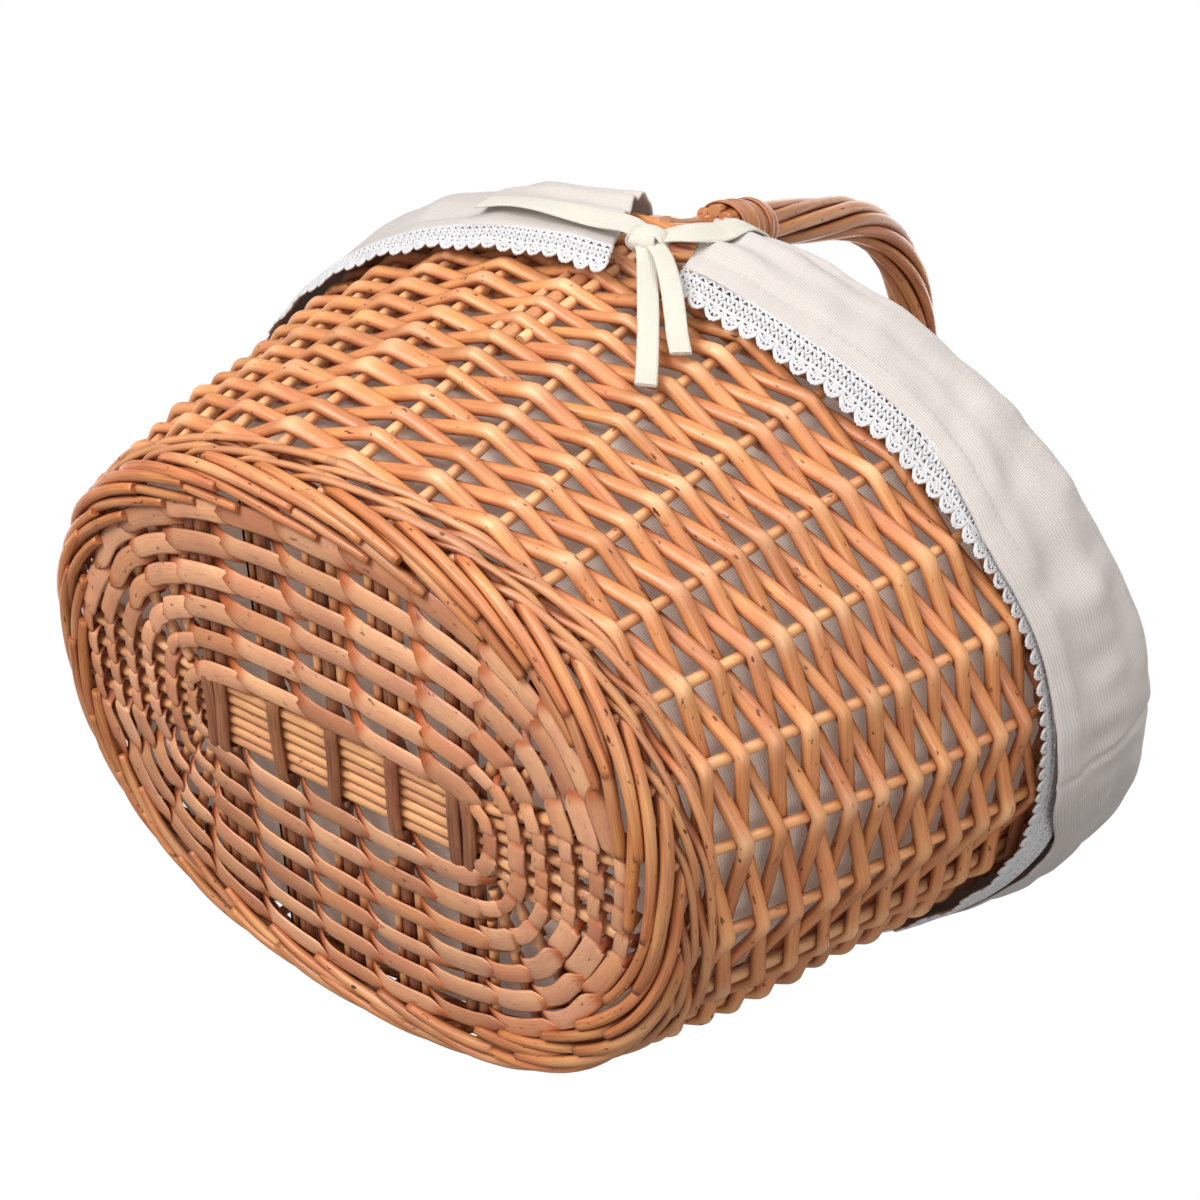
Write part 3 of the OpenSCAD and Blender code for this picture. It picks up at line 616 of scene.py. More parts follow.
def makeBorder(name, node, p, material):
    # Every stake bends over and runs length pitches along the edge:
    # P = wall(angle(i + length s), z(s), off(s))
    rng = np.random.default_rng(p["seed"])
    count = wall["stakes"]
    share = np.linspace(0, 1, p["steps"])
    knotsAt = np.array(p["run"])
    smoothShare = share[None] * np.ones((count, 1))
    off = np.interp(smoothShare, knotsAt, p["off"]) + rng.normal(0, 0.45, (count, 1)) * np.sin(np.pi * share)
    z = np.interp(smoothShare, knotsAt, p["z"]) + rng.normal(0, 0.3, (count, 1))
    off = softened(off, 3)
    z = np.maximum(softened(z, 3), p["radius"] + 0.1)
    reach = p["length"] * rng.uniform(0.88, 1.1, (count, 1))
    place = np.arange(count)[:, None] + p["shift"] + share * reach
    t = placeAngle(place)
    radius = p["radius"] * (1.05 - 0.22 * share) * rng.uniform(0.9, 1.1, (count, 1))
    wearAndHighlight = 0.55 * np.sin(np.pi * share) ** 2 * rng.uniform(0, 1, (count, 1))
    part = sweep(wallPoint(t, z, off), wallNormal(t, z), radius, radius, 12, rng=rng, pale=wearAndHighlight)
    makePiece(name, [part], material, [node])


makeBorder("foot_border_rods", "foot_border", footBorder, willow["border"])
makeBorder("foot_border_tips", "foot_border", footTips, willow["border"])
makeBorder("rim_border_rods", "rim_border", rimBorder, willow["border"])

# Base sticks
base = {
    "stickZ": 7.5, "longD": 4.2, "longPitch": 4.35, "longCount": 6, "crossD": 5.4, "crossPitch": 27.0,
    "pairPitch": 5.55, "edgeGap": 1.5, "spreadFrom": 62.0, "endPitch": 9.6, "fanD": 4.0, "seed": 41,
    "fanEnds": [34, 47, -34, -47], "fanX": [70.0, 66, 70, 66], "fanY": [15.0, 21, 15, 21],
    "buttRadius": 1.75, "buttAside": 5.2,
}
plateHalf = boxMm("base_weave")[1][:2]


def plateWidth(x):
    # Half width of the oval plate x from its middle: b (1 - |x / a|^power)^(1 / power)
    left = np.maximum(1 - (np.abs(x) / plateHalf[0]) ** wall["power"], 0)
    return plateHalf[1] * left ** (1 / wall["power"])


def longSticks(p, steps=60):
    # Parallel in the middle; past the last cross sticks they spread to an even pitch at the edge
    x = np.linspace(-1, 1, steps) * (plateHalf[0] - p["edgeGap"])
    k = np.arange(p["longCount"])[:, None] - (p["longCount"] - 1) / 2
    opened = smoothStep(p["spreadFrom"], plateHalf[0], np.abs(x)) ** 0.8
    y = k * (p["longPitch"] + (p["endPitch"] - p["longPitch"]) * opened)
    left = 1 - (np.abs(y[:, -1:]) / plateHalf[1]) ** wall["power"]
    reach = plateHalf[0] * left ** (1 / wall["power"]) - p["edgeGap"]
    return np.stack([x * reach / x[-1], y, np.full_like(y, p["stickZ"])], -1)


def fanSticks(p, steps=30):
    # Four straight sticks at each end, from beside the long ones out to the turn of the oval
    ends = np.radians(p["fanEnds"])
    endX, endY = plateHalf[0] * np.cos(ends) * 0.99, plateHalf[1] * np.sin(ends) * 1.12
    startX, startY = np.array(p["fanX"]), np.sign(endY) * np.array(p["fanY"])
    s = np.linspace(0, 1, steps)
    x = startX[:, None] + (endX - startX)[:, None] * s
    y = startY[:, None] + (endY - startY)[:, None] * s
    line = np.stack([x, y, np.full_like(x, p["stickZ"])], -1)
    return np.concatenate([line, line * [-1, -1, 1]])


# Three single cross sticks, then a pair at each end
pairPlaces = 2 * base["crossPitch"] + np.array([0, 1]) * base["pairPitch"]
crossPlaces = np.r_[np.arange(-1, 2) * base["crossPitch"], -pairPlaces, pairPlaces]


def makeBaseSticks(p):
    # Long and fan sticks are straight rods; each cross stick parts round the long ones by half their depth
    rng = np.random.default_rng(p["seed"])
    down = np.array([0.0, 0, -1])
    line = longSticks(p)
    radius = p["longD"] / 2 * rng.uniform(0.96, 1.04, (len(line), 1))
    part = sweep(line, down, radius, radius, 12, rng=rng, pale=0.35 * np.ones(line.shape[:2]))
    makePiece("base_long_sticks_turned", [part], willow["long"], ["base_long_sticks"])
    line = fanSticks(p)
    part = sweep(line, down, p["fanD"] / 2, p["fanD"] / 2, 12, rng=rng, pale=0.4 * np.ones(line.shape[:2]))
    makePiece("base_fan_sticks_turned", [part], willow["long"], ["base_fan_sticks"])
    # Cross sticks: whole at both sides, split into an upper and a lower half round the long sticks
    steps = 24
    s = np.linspace(0, 1, steps)
    slath = p["longCount"] * p["longPitch"] / 2
    x = crossPlaces[:, None] + 0.6 * wander(rng, len(crossPlaces), steps, 2, False)
    parts = []
    for side in (-1, 1):
        reach = plateWidth(crossPlaces)[:, None] - p["edgeGap"]
        y = side * (slath + 1 + (reach - slath - 1) * s)
        whole = np.stack([x, y, np.full_like(x, p["stickZ"])], -1)
        parts.append(sweep(whole, down, p["crossD"] / 2, p["crossD"] / 2, 12, rng=rng, pale=0.0))
        y = (slath + 7) * (2 * s - 1)
        bulge = smoothStep(slath + 7, slath - 1, np.abs(y))
        z = p["stickZ"] + side * (p["crossD"] / 4 + (p["longD"] / 2) * bulge) + 0 * x
        half = np.stack([x, y + 0 * x, z], -1)
        parts.append(sweep(half, down, p["crossD"] / 2, p["crossD"] / 4, 12, 2.4, rng=rng, pale=0.0))
    makePiece("base_cross_sticks_slit", parts, willow["slit"], ["base_cross_sticks"])
    # Stake butts pushed in beside the cross sticks, thinner and paler
    place = np.r_[crossPlaces + np.sign(crossPlaces + 0.1) * p["buttAside"], crossPlaces[:3] - p["buttAside"]]
    parts = []
    for side in (-1, 1):
        inner = rng.uniform(0.32, 0.5, (len(place), 1)) * plateWidth(place)[:, None]
        y = side * (inner + (plateWidth(place)[:, None] - inner) * s)
        line = np.stack([place[:, None] + 0 * y, y, np.full_like(y, p["stickZ"] - 0.3)], -1)
        parts.append(sweep(line, down, p["buttRadius"], p["buttRadius"], 10, rng=rng, pale=0.3))
    makePiece("base_stake_butts", parts, willow["stake"], [])


makeBaseSticks(base)

# Base weave of split ribbons
baseWeave = {
    "rounds": 6, "wide": 4.2, "thick": 0.62, "front": 4.0, "back": 10.9, "inward": 6.2, "seed": 51,
    "firstA": 69.0, "lastA": 121.0, "firstB": 20.0, "lastB": 88.0, "firstPower": 4.2, "lastPower": 2.3,
    "pairedRounds": 2, "steps": 33,
    "freeGap": 22.0, "wideGap": 14.5,  # stick gaps from which a stroke bends in and is as wide as it can
}


def crossings(lines, a, b, power):
    # Places where each stick's line meets the ring |x/a|^power + |y/b|^power = 1
    f = (np.abs(lines[..., 0]) / a) ** power + (np.abs(lines[..., 1]) / b) ** power - 1
    found = []
    for line, values in zip(lines, f):
        for n in np.nonzero(np.sign(values[:-1]) != np.sign(values[1:]))[0]:
            w = values[n] / (values[n] - values[n + 1])
            found.append(line[n] * (1 - w) + line[n + 1] * w)
    return np.array(found).reshape(-1, 3)


def crossLines():
    # Middle lines of the cross sticks, each pair taken as one
    y = np.linspace(-1, 1, 201)
    lines = []
    for k in (-2, -1, 0, 1, 2):
        x = k * base["crossPitch"] + np.sign(k) * (abs(k) == 2) * base["pairPitch"] / 2
        lines.append(np.stack([np.full_like(y, x), y * plateWidth(x), 0 * y + base["stickZ"]], -1))
    return np.array(lines)


def ringPlaces(r, a, b, power, sticks):
    # Where round r meets the sticks, in order of the angle atan2(y / b, x / a)
    cross, long, fan = sticks
    ends = crossings(long, a, b, power)
    if r < baseWeave["pairedRounds"]:
        # The first rounds take the long sticks in pairs
        pairs = np.round(ends[:, 1] / (2 * base["longPitch"]) / 1.25)
        keys = np.stack([np.sign(ends[:, 0]), pairs], 1)
        ends = np.array([ends[(keys == key).all(1)].mean(0) for key in np.unique(keys, axis=0)])
    meet = [crossings(cross, a, b, power), ends]
    if r > 0:
        meet.append(crossings(fan, a, b, power))
    meet = np.concatenate(meet)
    return meet[np.argsort(np.arctan2(meet[:, 1] / b, meet[:, 0] / a))]


def onTheWay(start, stop, share):
    # Level place from start to stop: start (1 - share) + stop share, with z = 0
    return (start * (1 - share) + stop * share) * [1, 1, 0]


def ribbonLines(meet, p, rng, radial, gap):
    # Nine knots for each stroke: it comes in from the outer side, lies flat under its own stick and
    # leaves on the inner side behind the next one; straight between the knots, then softened
    count = len(meet)
    before, after = np.roll(meet, 1, 0), np.roll(meet, -1, 0)
    inward = -np.c_[radial, np.zeros(count)] * p["inward"] * np.clip((gap / p["freeGap"]) ** 2, 0.12, 1)
    low, high = np.array([0, 0, p["front"]]), np.array([0, 0, p["back"]])
    jitter = rng.normal(0, 0.35, (count, 1))
    knots = np.stack([
        onTheWay(meet, before, 1.0) - np.roll(inward, 1, 0) + high,
        onTheWay(meet, before, 0.76) - inward * 0.95 + low * 0.35 + high * 0.65,
        onTheWay(meet, before, 0.54) - inward * 0.62 + low * 0.9 + high * 0.1,
        onTheWay(meet, before, 0.34) - inward * 0.12 + low,
        onTheWay(meet, after, 0.0) + low - [0, 0, 0.2],
        onTheWay(meet, after, 0.42) + low - [0, 0, 0.1],
        onTheWay(meet, after, 0.62) + inward * 0.4 + low * 0.8 + high * 0.2,
        onTheWay(meet, after, 0.82) + inward * 0.85 + low * 0.25 + high * 0.75,
        onTheWay(meet, after, 1.06) + np.roll(inward, -1, 0) + high], 1)
    knots[..., 2] += jitter * 0.5
    knots[..., :2] += (radial * rng.normal(0, 0.5, (count, 1)))[:, None]
    at = np.linspace(0, knots.shape[1] - 1, p["steps"])
    first = np.minimum(at.astype(int), knots.shape[1] - 2)
    w = (at - first)[:, None]
    return at, softened(knots[:, first] * (1 - w) + knots[:, first + 1] * w, 2)


def makeBaseWeave(p):
    # Two ribbons twined in rounds that grow from one oval to another: at each stick one ribbon lies
    # under it and the other above. Width, twist and wear follow the knots of a stroke
    rng = np.random.default_rng(p["seed"])
    sticks = crossLines(), longSticks(base, 400), fanSticks(base, 200)
    parts = []
    for r in range(p["rounds"]):
        share = r / (p["rounds"] - 1)
        a = p["firstA"] + (p["lastA"] - p["firstA"]) * share
        b = p["firstB"] + (p["lastB"] - p["firstB"]) * share
        power = p["firstPower"] + (p["lastPower"] - p["firstPower"]) * share ** 0.7
        meet = ringPlaces(r, a, b, power, sticks)
        count = len(meet)
        radial = unit(meet[:, :2] / np.array([a, b]) ** 1.2)
        span = np.roll(meet, -1, 0) - np.roll(meet, 1, 0)
        gap = np.linalg.norm(span[:, :2], axis=1, keepdims=True) / 2
        at, line = ribbonLines(meet, p, rng, radial, gap)
        twist = np.interp(at, [0, 1, 2, 3, 5, 6, 8], [0.1, 0.35, 0.4, 0.1, 0.05, 0.2, 0.1])
        outwards = np.c_[radial, np.zeros(count)][:, None]
        face = np.array([0, 0, -1.0]) * np.cos(twist)[:, None] + outwards * np.sin(twist)[:, None]
        wearAndHighlight = np.interp(at, [0, 2.2, 2.9, 5.4, 6, 8], [0, 0.0, 1, 1, 0.1, 0])
        wearAndHighlight = wearAndHighlight * rng.uniform(0.45, 1, (count, 1))
        swell = np.interp(at, [0, 1, 2, 2.9, 5.2, 6.2, 7, 8], [0.55, 0.5, 0.58, 1, 1, 0.7, 0.5, 0.5])
        wide = p["wide"] * np.clip(gap / p["wideGap"], 0.62, 1.0) * swell * rng.uniform(0.86, 1.1, (count, 1))
        parts.append(sweep(line, face, wide, p["thick"], 8, 3.2, rng=rng, pale=wearAndHighlight))
    makePiece("base_ribbons", parts, willow["ribbon"], ["base_weave"])


makeBaseWeave(baseWeave)

# Handle
handle = {
    "lean": np.radians(15), "rise": 385.0, "bowRadius": 4.3, "ropes": 8, "ropeTurns": 1.25, "ropeWide": 2.5,
    "ropeThick": 2.3, "bindStart": 40.0, "bindTurns": 7, "skeinWide": 1.95, "skeinThick": 0.6, "seed": 61,
    "legRadius": 3.4, "endRadius": 2.0, "downRadius": 2.2, "downAside": 6.0, "downOff": 0.6,
}
# The leg leans in by lean from its foot, and the arc that it runs into has its crown at rise
lean = handle["lean"]
legFoot = np.array([baseHalf[1] + (rimHalf[1] - baseHalf[1]) * flare(weaveHigh), wallTop])
archRadius = ((legFoot[0] - (handle["rise"] - wallTop) * np.tan(lean))
              / (np.cos(lean) - (1 - np.sin(lean)) * np.tan(lean)))
archMiddle = handle["rise"] - archRadius
legTop = np.array([archRadius * np.cos(lean), archMiddle + archRadius * np.sin(lean)])
legRun = np.linalg.norm(legTop - legFoot)
wholeRun = 2 * (legRun + archRadius * (np.pi / 2 - lean))
ropeR = boxMm("handle_rope_rods")[1][0] - handle["ropeThick"]


def bowPoint(s):
    # Leaning leg, then an arc of archRadius over the crown, mirrored for the second half
    back = s > wholeRun / 2
    q = np.where(back, wholeRun - s, s)
    onLeg = legFoot + (legTop - legFoot) * (q / legRun)[..., None]
    turn = lean + (q - legRun) / archRadius
    onArc = np.stack([archRadius * np.cos(turn), archMiddle + archRadius * np.sin(turn)], -1)
    p = np.where((q < legRun)[..., None], onLeg, onArc)
    return np.stack([0 * s, np.where(back, p[..., 0], -p[..., 0]), p[..., 1]], -1)


def bowFrame(s):
    # Bow's place at the run s and its outward direction, dP/ds x (1, 0, 0)
    ahead = unit(bowPoint(s + 0.5) - bowPoint(s - 0.5))
    return bowPoint(s), np.cross(ahead, [1.0, 0, 0])


def makeHandle(p):
    # Bow: a round rod along bowPoint(s), with both ends going down the wall
    rng = np.random.default_rng(p["seed"])
    s = np.linspace(2, wholeRun - 2, 110)
    line, out = bowFrame(s)
    legs = []
    for side in (-1, 1):
        z = np.linspace(bowLow, wallTop + 6, 24)
        t = side * np.pi / 2 + 0 * z
        leg, face = wallPoint(t, z), wallNormal(t, z)
        legs.append(sweep(leg[None], face[None], p["legRadius"], p["legRadius"], 12, rng=rng, pale=0.5))
    arch = sweep(line[None], out[None], p["bowRadius"], p["bowRadius"], 12, rng=rng)
    makePiece("handle_bow_rod", [arch] + legs, willow["handle"], ["handle_bow"])
    # Rods twisted round the bow: P = bow + ropeR (cos a out + sin a x), a grows with the run
    s = np.linspace(p["bindStart"] - 6, wholeRun - p["bindStart"] + 6, 150)
    line, out = bowFrame(s)
    rods = np.arange(p["ropes"])[:, None]
    share = (s - s[0]) / (s[-1] - s[0])
    a = fullTurn * (rods / p["ropes"] + p["ropeTurns"] * share)
    a = a + 0.05 * wander(rng, p["ropes"], s.size, 5, False)
    squeeze = 1 - 0.07 * np.exp(-np.minimum(s - s[0], s[-1] - s) / 14)
    radius = ropeR * squeeze + 0.35 * wander(rng, p["ropes"], s.size, 4, False)
    spoke = np.cos(a)[..., None] * out + np.sin(a)[..., None] * np.array([1.0, 0, 0])
    size = 1 + 0.1 * wander(rng, p["ropes"], s.size, 3, False) + rng.uniform(-0.08, 0.1, (p["ropes"], 1))
    wearAndHighlight = 0.4 * rng.uniform(0, 1, (p["ropes"], 1)) * np.ones(s.size)
    ropes = sweep(line + radius[..., None] * spoke, spoke, p["ropeWide"] * size, p["ropeThick"] * size, 12,
                  rng=rng, pale=wearAndHighlight)
    makePiece("handle_twisted_rods", [ropes], willow["handle"], ["handle_rope_rods"])


def makeBinding(name, node, p, side, seed):
    # Flat skein wound up the leg: P = bow(s + tilt) + radius (cos a out + sin a x), and s rises by a
    # little less than the skein's width for each turn of a
    rng = np.random.default_rng(seed)
    turns, perTurn = p["bindTurns"], 40
    a = np.linspace(0, fullTurn * turns, turns * perTurn)
    rise = p["bindStart"] + 1.5 + (2 * p["skeinWide"] - 0.5) * turns * a / a[-1]
    s = rise if side < 0 else wholeRun - rise
    tilt = 2.6 * np.sin(a + 0.7) * (1 + 0.2 * np.sin(a / 3.1))
    line, out = bowFrame(s + tilt)
    radius = ropeR + 2.75 + 0.3 * wander(rng, 1, a.size, 9, False)[0]
    spoke = np.cos(a)[:, None] * out + np.sin(a)[:, None] * np.array([1.0, 0, 0])
    wide = p["skeinWide"] * (1 + 0.08 * wander(rng, 1, a.size, 6, False))
    part = sweep((line + radius[:, None] * spoke)[None], spoke[None], wide, p["skeinThick"], 8, 2.6, rng=rng,
                 pale=0.35 * (1 + np.sin(a))[None] / 2)
    makePiece(name, [part], willow["skein"], [node])


def makeFootRods(name, node, p, side, seed):
    # Rod ends fan from under the binding to the rim: top (1 - s) + foot s + sin(pi s)^1.3 apart
    rng = np.random.default_rng(seed)
    k = np.tile(np.array([-1.5, -0.5, 0.5, 1.5]), 2)
    face = np.repeat([-1.0, 1.0], 4)
    share = np.linspace(0, 1, 30)
    start, out = bowFrame(np.array([p["bindStart"] + 4.0]))
    angle = np.arctan2(k * 0.9, face * 1.4)
    top = start + 6.6 * (np.sin(angle)[:, None] * np.array([1.0, 0, 0]) + np.cos(angle)[:, None] * out)
    footX = k * 5.5 + 3.0 + rng.normal(0, 0.8, 8)
    foot = np.stack([footX, -legFoot[0] - 4.5 * face, np.full(8, wallTop - 5.0)], -1)
    apart = np.stack([k * 2.2, -2.4 * face, 0 * k], -1)
    swell = np.sin(np.pi * share)[:, None] ** 1.3
    line = top[:, None] * (1 - share[:, None]) + foot[:, None] * share[:, None] + swell * apart[:, None]
    wearAndHighlight = 0.35 * rng.uniform(0, 1, (8, 1)) * np.ones(30)
    parts = [sweep(line, np.array([0.0, -1, 0.2]), p["endRadius"] * (1 - 0.15 * share), p["endRadius"], 10,
                   rng=rng, pale=wearAndHighlight)]
    # Two of them go on down in the weave, one at each side of the bow's end
    z = np.linspace(bowLow + 6, wallTop - 2, 20)
    for beside in (-1, 1):
        t = frontAngle(beside * p["downAside"] + 0 * z, z)
        line, face = wallPoint(t, z, p["downOff"]), wallNormal(t, z)
        parts.append(sweep(line[None], face[None], p["downRadius"], p["downRadius"], 10, rng=rng, pale=0.7))
    if side > 0:
        for part in parts:
            part["points"] = part["points"] * [-1, -1, 1]
    makePiece(name, parts, willow["stake"], [node])


makeHandle(handle)
makeBinding("handle_skein_front", "handle_binding_front", handle, -1, 71)
makeBinding("handle_skein_back", "handle_binding_back", handle, 1, 72)
makeFootRods("handle_rod_ends_front", "handle_foot_rods_front", handle, -1, 73)
makeFootRods("handle_rod_ends_back", "handle_foot_rods_back", handle, 1, 74)

# Liner bag
bag = {
    "off": -8.9, "floorZ": boxMm("liner_bag")[0][2] + 0.8, "top": boxMm("liner_bag")[1][2], "thick": 0.7,
    "corner": 9.0, "cornerShare": 0.25, "around": 300, "up": 54, "floorRings": 16, "seed": 81,
    "runAround": 155.0, "runFloor": 130.0,  # cloth millimetres for a radian round, and across half the floor
}


def ripples(rng, u, v, waves, longest, shortest):
    # Sum of plane sine waves of seeded direction and length over cloth places in millimetres, about -1..1
    total = 0 * u
    for _ in range(waves):
        length = np.exp(rng.uniform(np.log(shortest), np.log(longest)))
        lie = rng.uniform(0, np.pi)
        phase = rng.uniform(0, fullTurn)
        total = total + np.sin(fullTurn * (u * np.cos(lie) + v * np.sin(lie)) / length + phase)
    return total / np.sqrt(waves) / 1.2


def makeBag(p):
    # Walls follow the wicker inside the stake line, round a soft corner into a flat floor
    rng = np.random.default_rng(p["seed"])
    t = np.linspace(0, fullTurn, p["around"], endpoint=False)[:, None]
    z = p["top"] + (p["floorZ"] + p["corner"] - p["top"]) * np.linspace(0, 1, p["up"])
    u = t * p["runAround"]
    wave = ripples(rng, u, z[None] * 1.0, 14, 120, 25)
    wallPart = wallPoint(t, z[None], p["off"] + 0.75 * wave)
    s = np.linspace(0, 1, p["floorRings"])[1:]
    corner, cornerShare = p["corner"], p["cornerShare"]
    bend = np.minimum(s / cornerShare, 1) * np.pi / 2
    shrink = np.where(s < cornerShare, corner * (1 - np.cos(bend)), corner)
    zFloor = np.where(s < cornerShare, p["floorZ"] + corner * (1 - np.sin(bend)), p["floorZ"])
    toMiddle = np.where(s < cornerShare, 1.0, 1 - (s - cornerShare) / (1 - cornerShare) * 0.995)
    inner = wallPoint(t + 0 * s, p["floorZ"] + corner + 0 * s, p["off"] - shrink)
    floor = inner * toMiddle[None, :, None]
    creases = np.abs(ripples(rng, floor[..., 0], floor[..., 1], 10, 90, 25))
    floor[..., 2] = zFloor + 0.35 * creases * (s > cornerShare)
    points = np.concatenate([wallPart, floor], 1)[:, ::-1]
    run = np.concatenate([z[None] + 0 * t, p["floorZ"] - p["runFloor"] * s[None] + 0 * t], 1)[:, ::-1]
    grain = np.stack([u + 0 * run, run, 0 * run], -1)
    part = gridPart(points, grain, True)
    # The last ring round the middle of the floor is closed with one small face
    part["caps"] = [(np.arange(p["around"])[None] * points.shape[1])[:, ::-1]]
    return thicken(makePiece("liner_bag_cloth", [part], cloth["bag"], ["liner_bag"]), p["thick"])


bagPiece = makeBag(bag)

# Cuffs
cuff = {
    "slitTop": 36.0, "slitFoot": 26.0, "slitPlace": 9.0, "slitDrift": 17.0, "slitDeep": 49.0, "thick": 0.75,
    "runLong": 500.0, "runDeep": 78.0,  # millimetres of cloth from slit to slit and from the bag to the hem
    "along": 380, "across": 64, "folds": 5, "drapes": 9, "gatherReach": 42.0, "seam": 0.47,
    "tuck": 10.5, "loose": 2.8,
    "off": [-9.9, -9.6, -7.0, -1.5, 4.5, 9.0, 11.2, 11.6, 11.2, 10.3],
    "z": [182, 189, 193.6, 196.0, 195.6, 192.0, 185.0, 175.0, 164.0, 151.8],
}
# The left half is set out as the right one and then turned by half a turn. Only the right one hangs
# loose and tucks its lace away
halves = {"right": {"turn": 0.0, "tucks": 1, "seed": 101}, "left": {"turn": np.pi, "tucks": 0, "seed": 102}}


def spline(values, s):
    # Smooth curve through the values, s from 0 to 1: between b and c, with a before and d after,
    # (2b + (c - a) w + (2a - 5b + 4c - d) w^2 + (3b - a - 3c + d) w^3) / 2
    v = np.asarray(values, float)
    v = np.r_[2 * v[0] - v[1], v, 2 * v[-1] - v[-2]]
    at = np.clip(s, 0, 1) * (len(v) - 3)
    n = np.minimum(at.astype(int), len(v) - 4)
    w = at - n
    a, b, c, d = v[n], v[n + 1], v[n + 2], v[n + 3]
    square, cube = 2 * a - 5 * b + 4 * c - d, 3 * b - a - 3 * c + d
    return 0.5 * (2 * b + (c - a) * w + square * w ** 2 + cube * w ** 3)


def slitEdge(z, side):
    # Sideways place of a slit's edge: slitPlace + slitDrift fall + side wide / 2, fall going from 0 to 1
    fall = np.clip((wallTop - z) / cuff["slitDeep"], 0, 1)
    wide = cuff["slitTop"] + (cuff["slitFoot"] - cuff["slitTop"]) * fall
    return cuff["slitPlace"] + cuff["slitDrift"] * fall + side * wide / 2


def cuffAngle(share, z, off):
    # Angle at the share 0..1 along one half, from one slit to the other
    start = frontAngle(slitEdge(z, 1), z, off)
    stop = np.pi + frontAngle(slitEdge(z, -1), z, off)
    return start + (stop - start) * share


def tuckShare(u, half):
    # Share 0..1 by which the lace is tucked behind the hem at the place u
    return half["tucks"] * smoothStep(0.17, 0.3, u) * smoothStep(0.56, 0.49, u)


def cuffFolds(u, v, p, rng):
    # Outward lift in millimetres: long folds and upright drapes are bells exp(-x^2), gathers are rays
    # at both slits, and creases are ripples; a seam pulls the cloth in
    long, deep = p["runLong"], p["runDeep"]
    outer = smoothStep(0.42, 0.62, v)
    fold = 0 * u * v
    for _ in range(p["folds"]):
        middle = 0.62 + 0.3 * rng.uniform(0, 1)
        middle = middle + 0.08 * np.sin(fullTurn * (u * rng.uniform(0.5, 1.5) + rng.uniform()))
        where = np.exp(-((u - rng.uniform(0, 1)) / rng.uniform(0.1, 0.28)) ** 2)
        fold = fold + rng.uniform(1.2, 2.4) * where * np.exp(-((v - middle) / 0.045) ** 2)
    gather = np.exp(-u * long / p["gatherReach"]) + np.exp(-(1 - u) * long / p["gatherReach"])
    rays = np.sin(fullTurn * v * deep / 11 + 1.4) * gather * 1.5 * outer
    soft = ripples(rng, u * long + 0 * v, v * deep + 0 * u, 16, 110, 28)
    small = ripples(rng, u * long + 0 * v, v * deep + 0 * u, 12, 26, 11)
    drape = 0
    for _ in range(p["drapes"]):
        lean = u - rng.uniform(0.03, 0.97) + rng.uniform(-0.09, 0.09) * (v - 0.7)
        drape = drape + rng.uniform(-0.8, 1.7) * np.exp(-(lean * long / rng.uniform(5, 12)) ** 2)
    seam = -1.3 * np.exp(-((u - p["seam"]) * long / 1.8) ** 2) + 0 * v
    return outer * (fold + 1.3 * soft + 0.4 * small + drape) + rays + (1 - outer) * 0.5 * soft + seam


def cuffPoint(u, v, p, half):
    # u runs along the half, v from inside the bag over the fold to the hem:
    # P = wall(angle(u), z(v) + droop, off(v) + lift)
    rng = np.random.default_rng(half["seed"])
    off, z = spline(p["off"], v), spline(p["z"], v)
    lift = cuffFolds(u, v, p, rng)
    lift = np.maximum(lift, -1.6) * (1 - 0.7 * smoothStep(0.84, 0.99, v))
    # The hem waves, and hangs lower where the lace is tucked behind it
    droop = 1.0 * ripples(rng, u * p["runLong"] + 0 * v, 0 * u * v, 6, 160, 60) * smoothStep(0.8, 1, v)
    droop = droop - p["tuck"] * tuckShare(u, half) * smoothStep(0.5, 1, v)
    hem = 0.35 * smoothStep(0.93, 0.94, v)
    loose = p["loose"] * half["tucks"] * np.exp(-((u - 0.52) / 0.15) ** 2) * smoothStep(0.3, 0.6, v)
    t = cuffAngle(u, z, off) + half["turn"]
    return wallPoint(t, z + droop + 0 * u, off + lift + loose + hem), droop


def makeCuff(name, node, p, half):
    # A (u, v) grid; the pale value counts the millimetres from the hem, for its stitches
    u = np.linspace(0, 1, p["along"])[:, None]
    v = np.linspace(0, 1, p["across"])[None]
    points = cuffPoint(u, v, p, half)[0]
    grain = np.stack([u * p["runLong"] + 0 * v, v * p["runDeep"] + 0 * u, 0 * u * v], -1)
    fromHem = (1 - v) * p["runDeep"] + 0 * u
    # v is turned round, so that the faces look outwards
    part = gridPart(points[:, ::-1], grain[:, ::-1], False, fromHem[:, ::-1])
    return thicken(makePiece(name, [part], cloth["cuff"], [node]), p["thick"])


# Lace, as deep as the lowest of its rows
lace = {"scallops": 78, "perScallop": 12, "thread": 0.55, "below": 7.3, "fanDeep": 4.4, "spokes": 4}


def lacePoint(along, down, q, half):
    # Carries on from the cuff's hem: share along it, millimetres down from it. Where it is tucked it
    # moves up and in behind the cuff
    droop = cuffPoint(along, np.ones_like(along), q, half)[1]
    tucked = tuckShare(along, half)
    z = spline(q["z"], np.ones_like(along)) + droop - down + (q["tuck"] + 1.5) * tucked
    off = spline(q["off"], np.ones_like(along)) + 0.5 - 0.16 * down + 0.7 * np.sin(along * 120) * down / 13
    off = off * (1 - tucked) + (8.1 - 0.03 * down) * tucked
    return wallPoint(cuffAngle(along, z, off) + half["turn"], z, off)


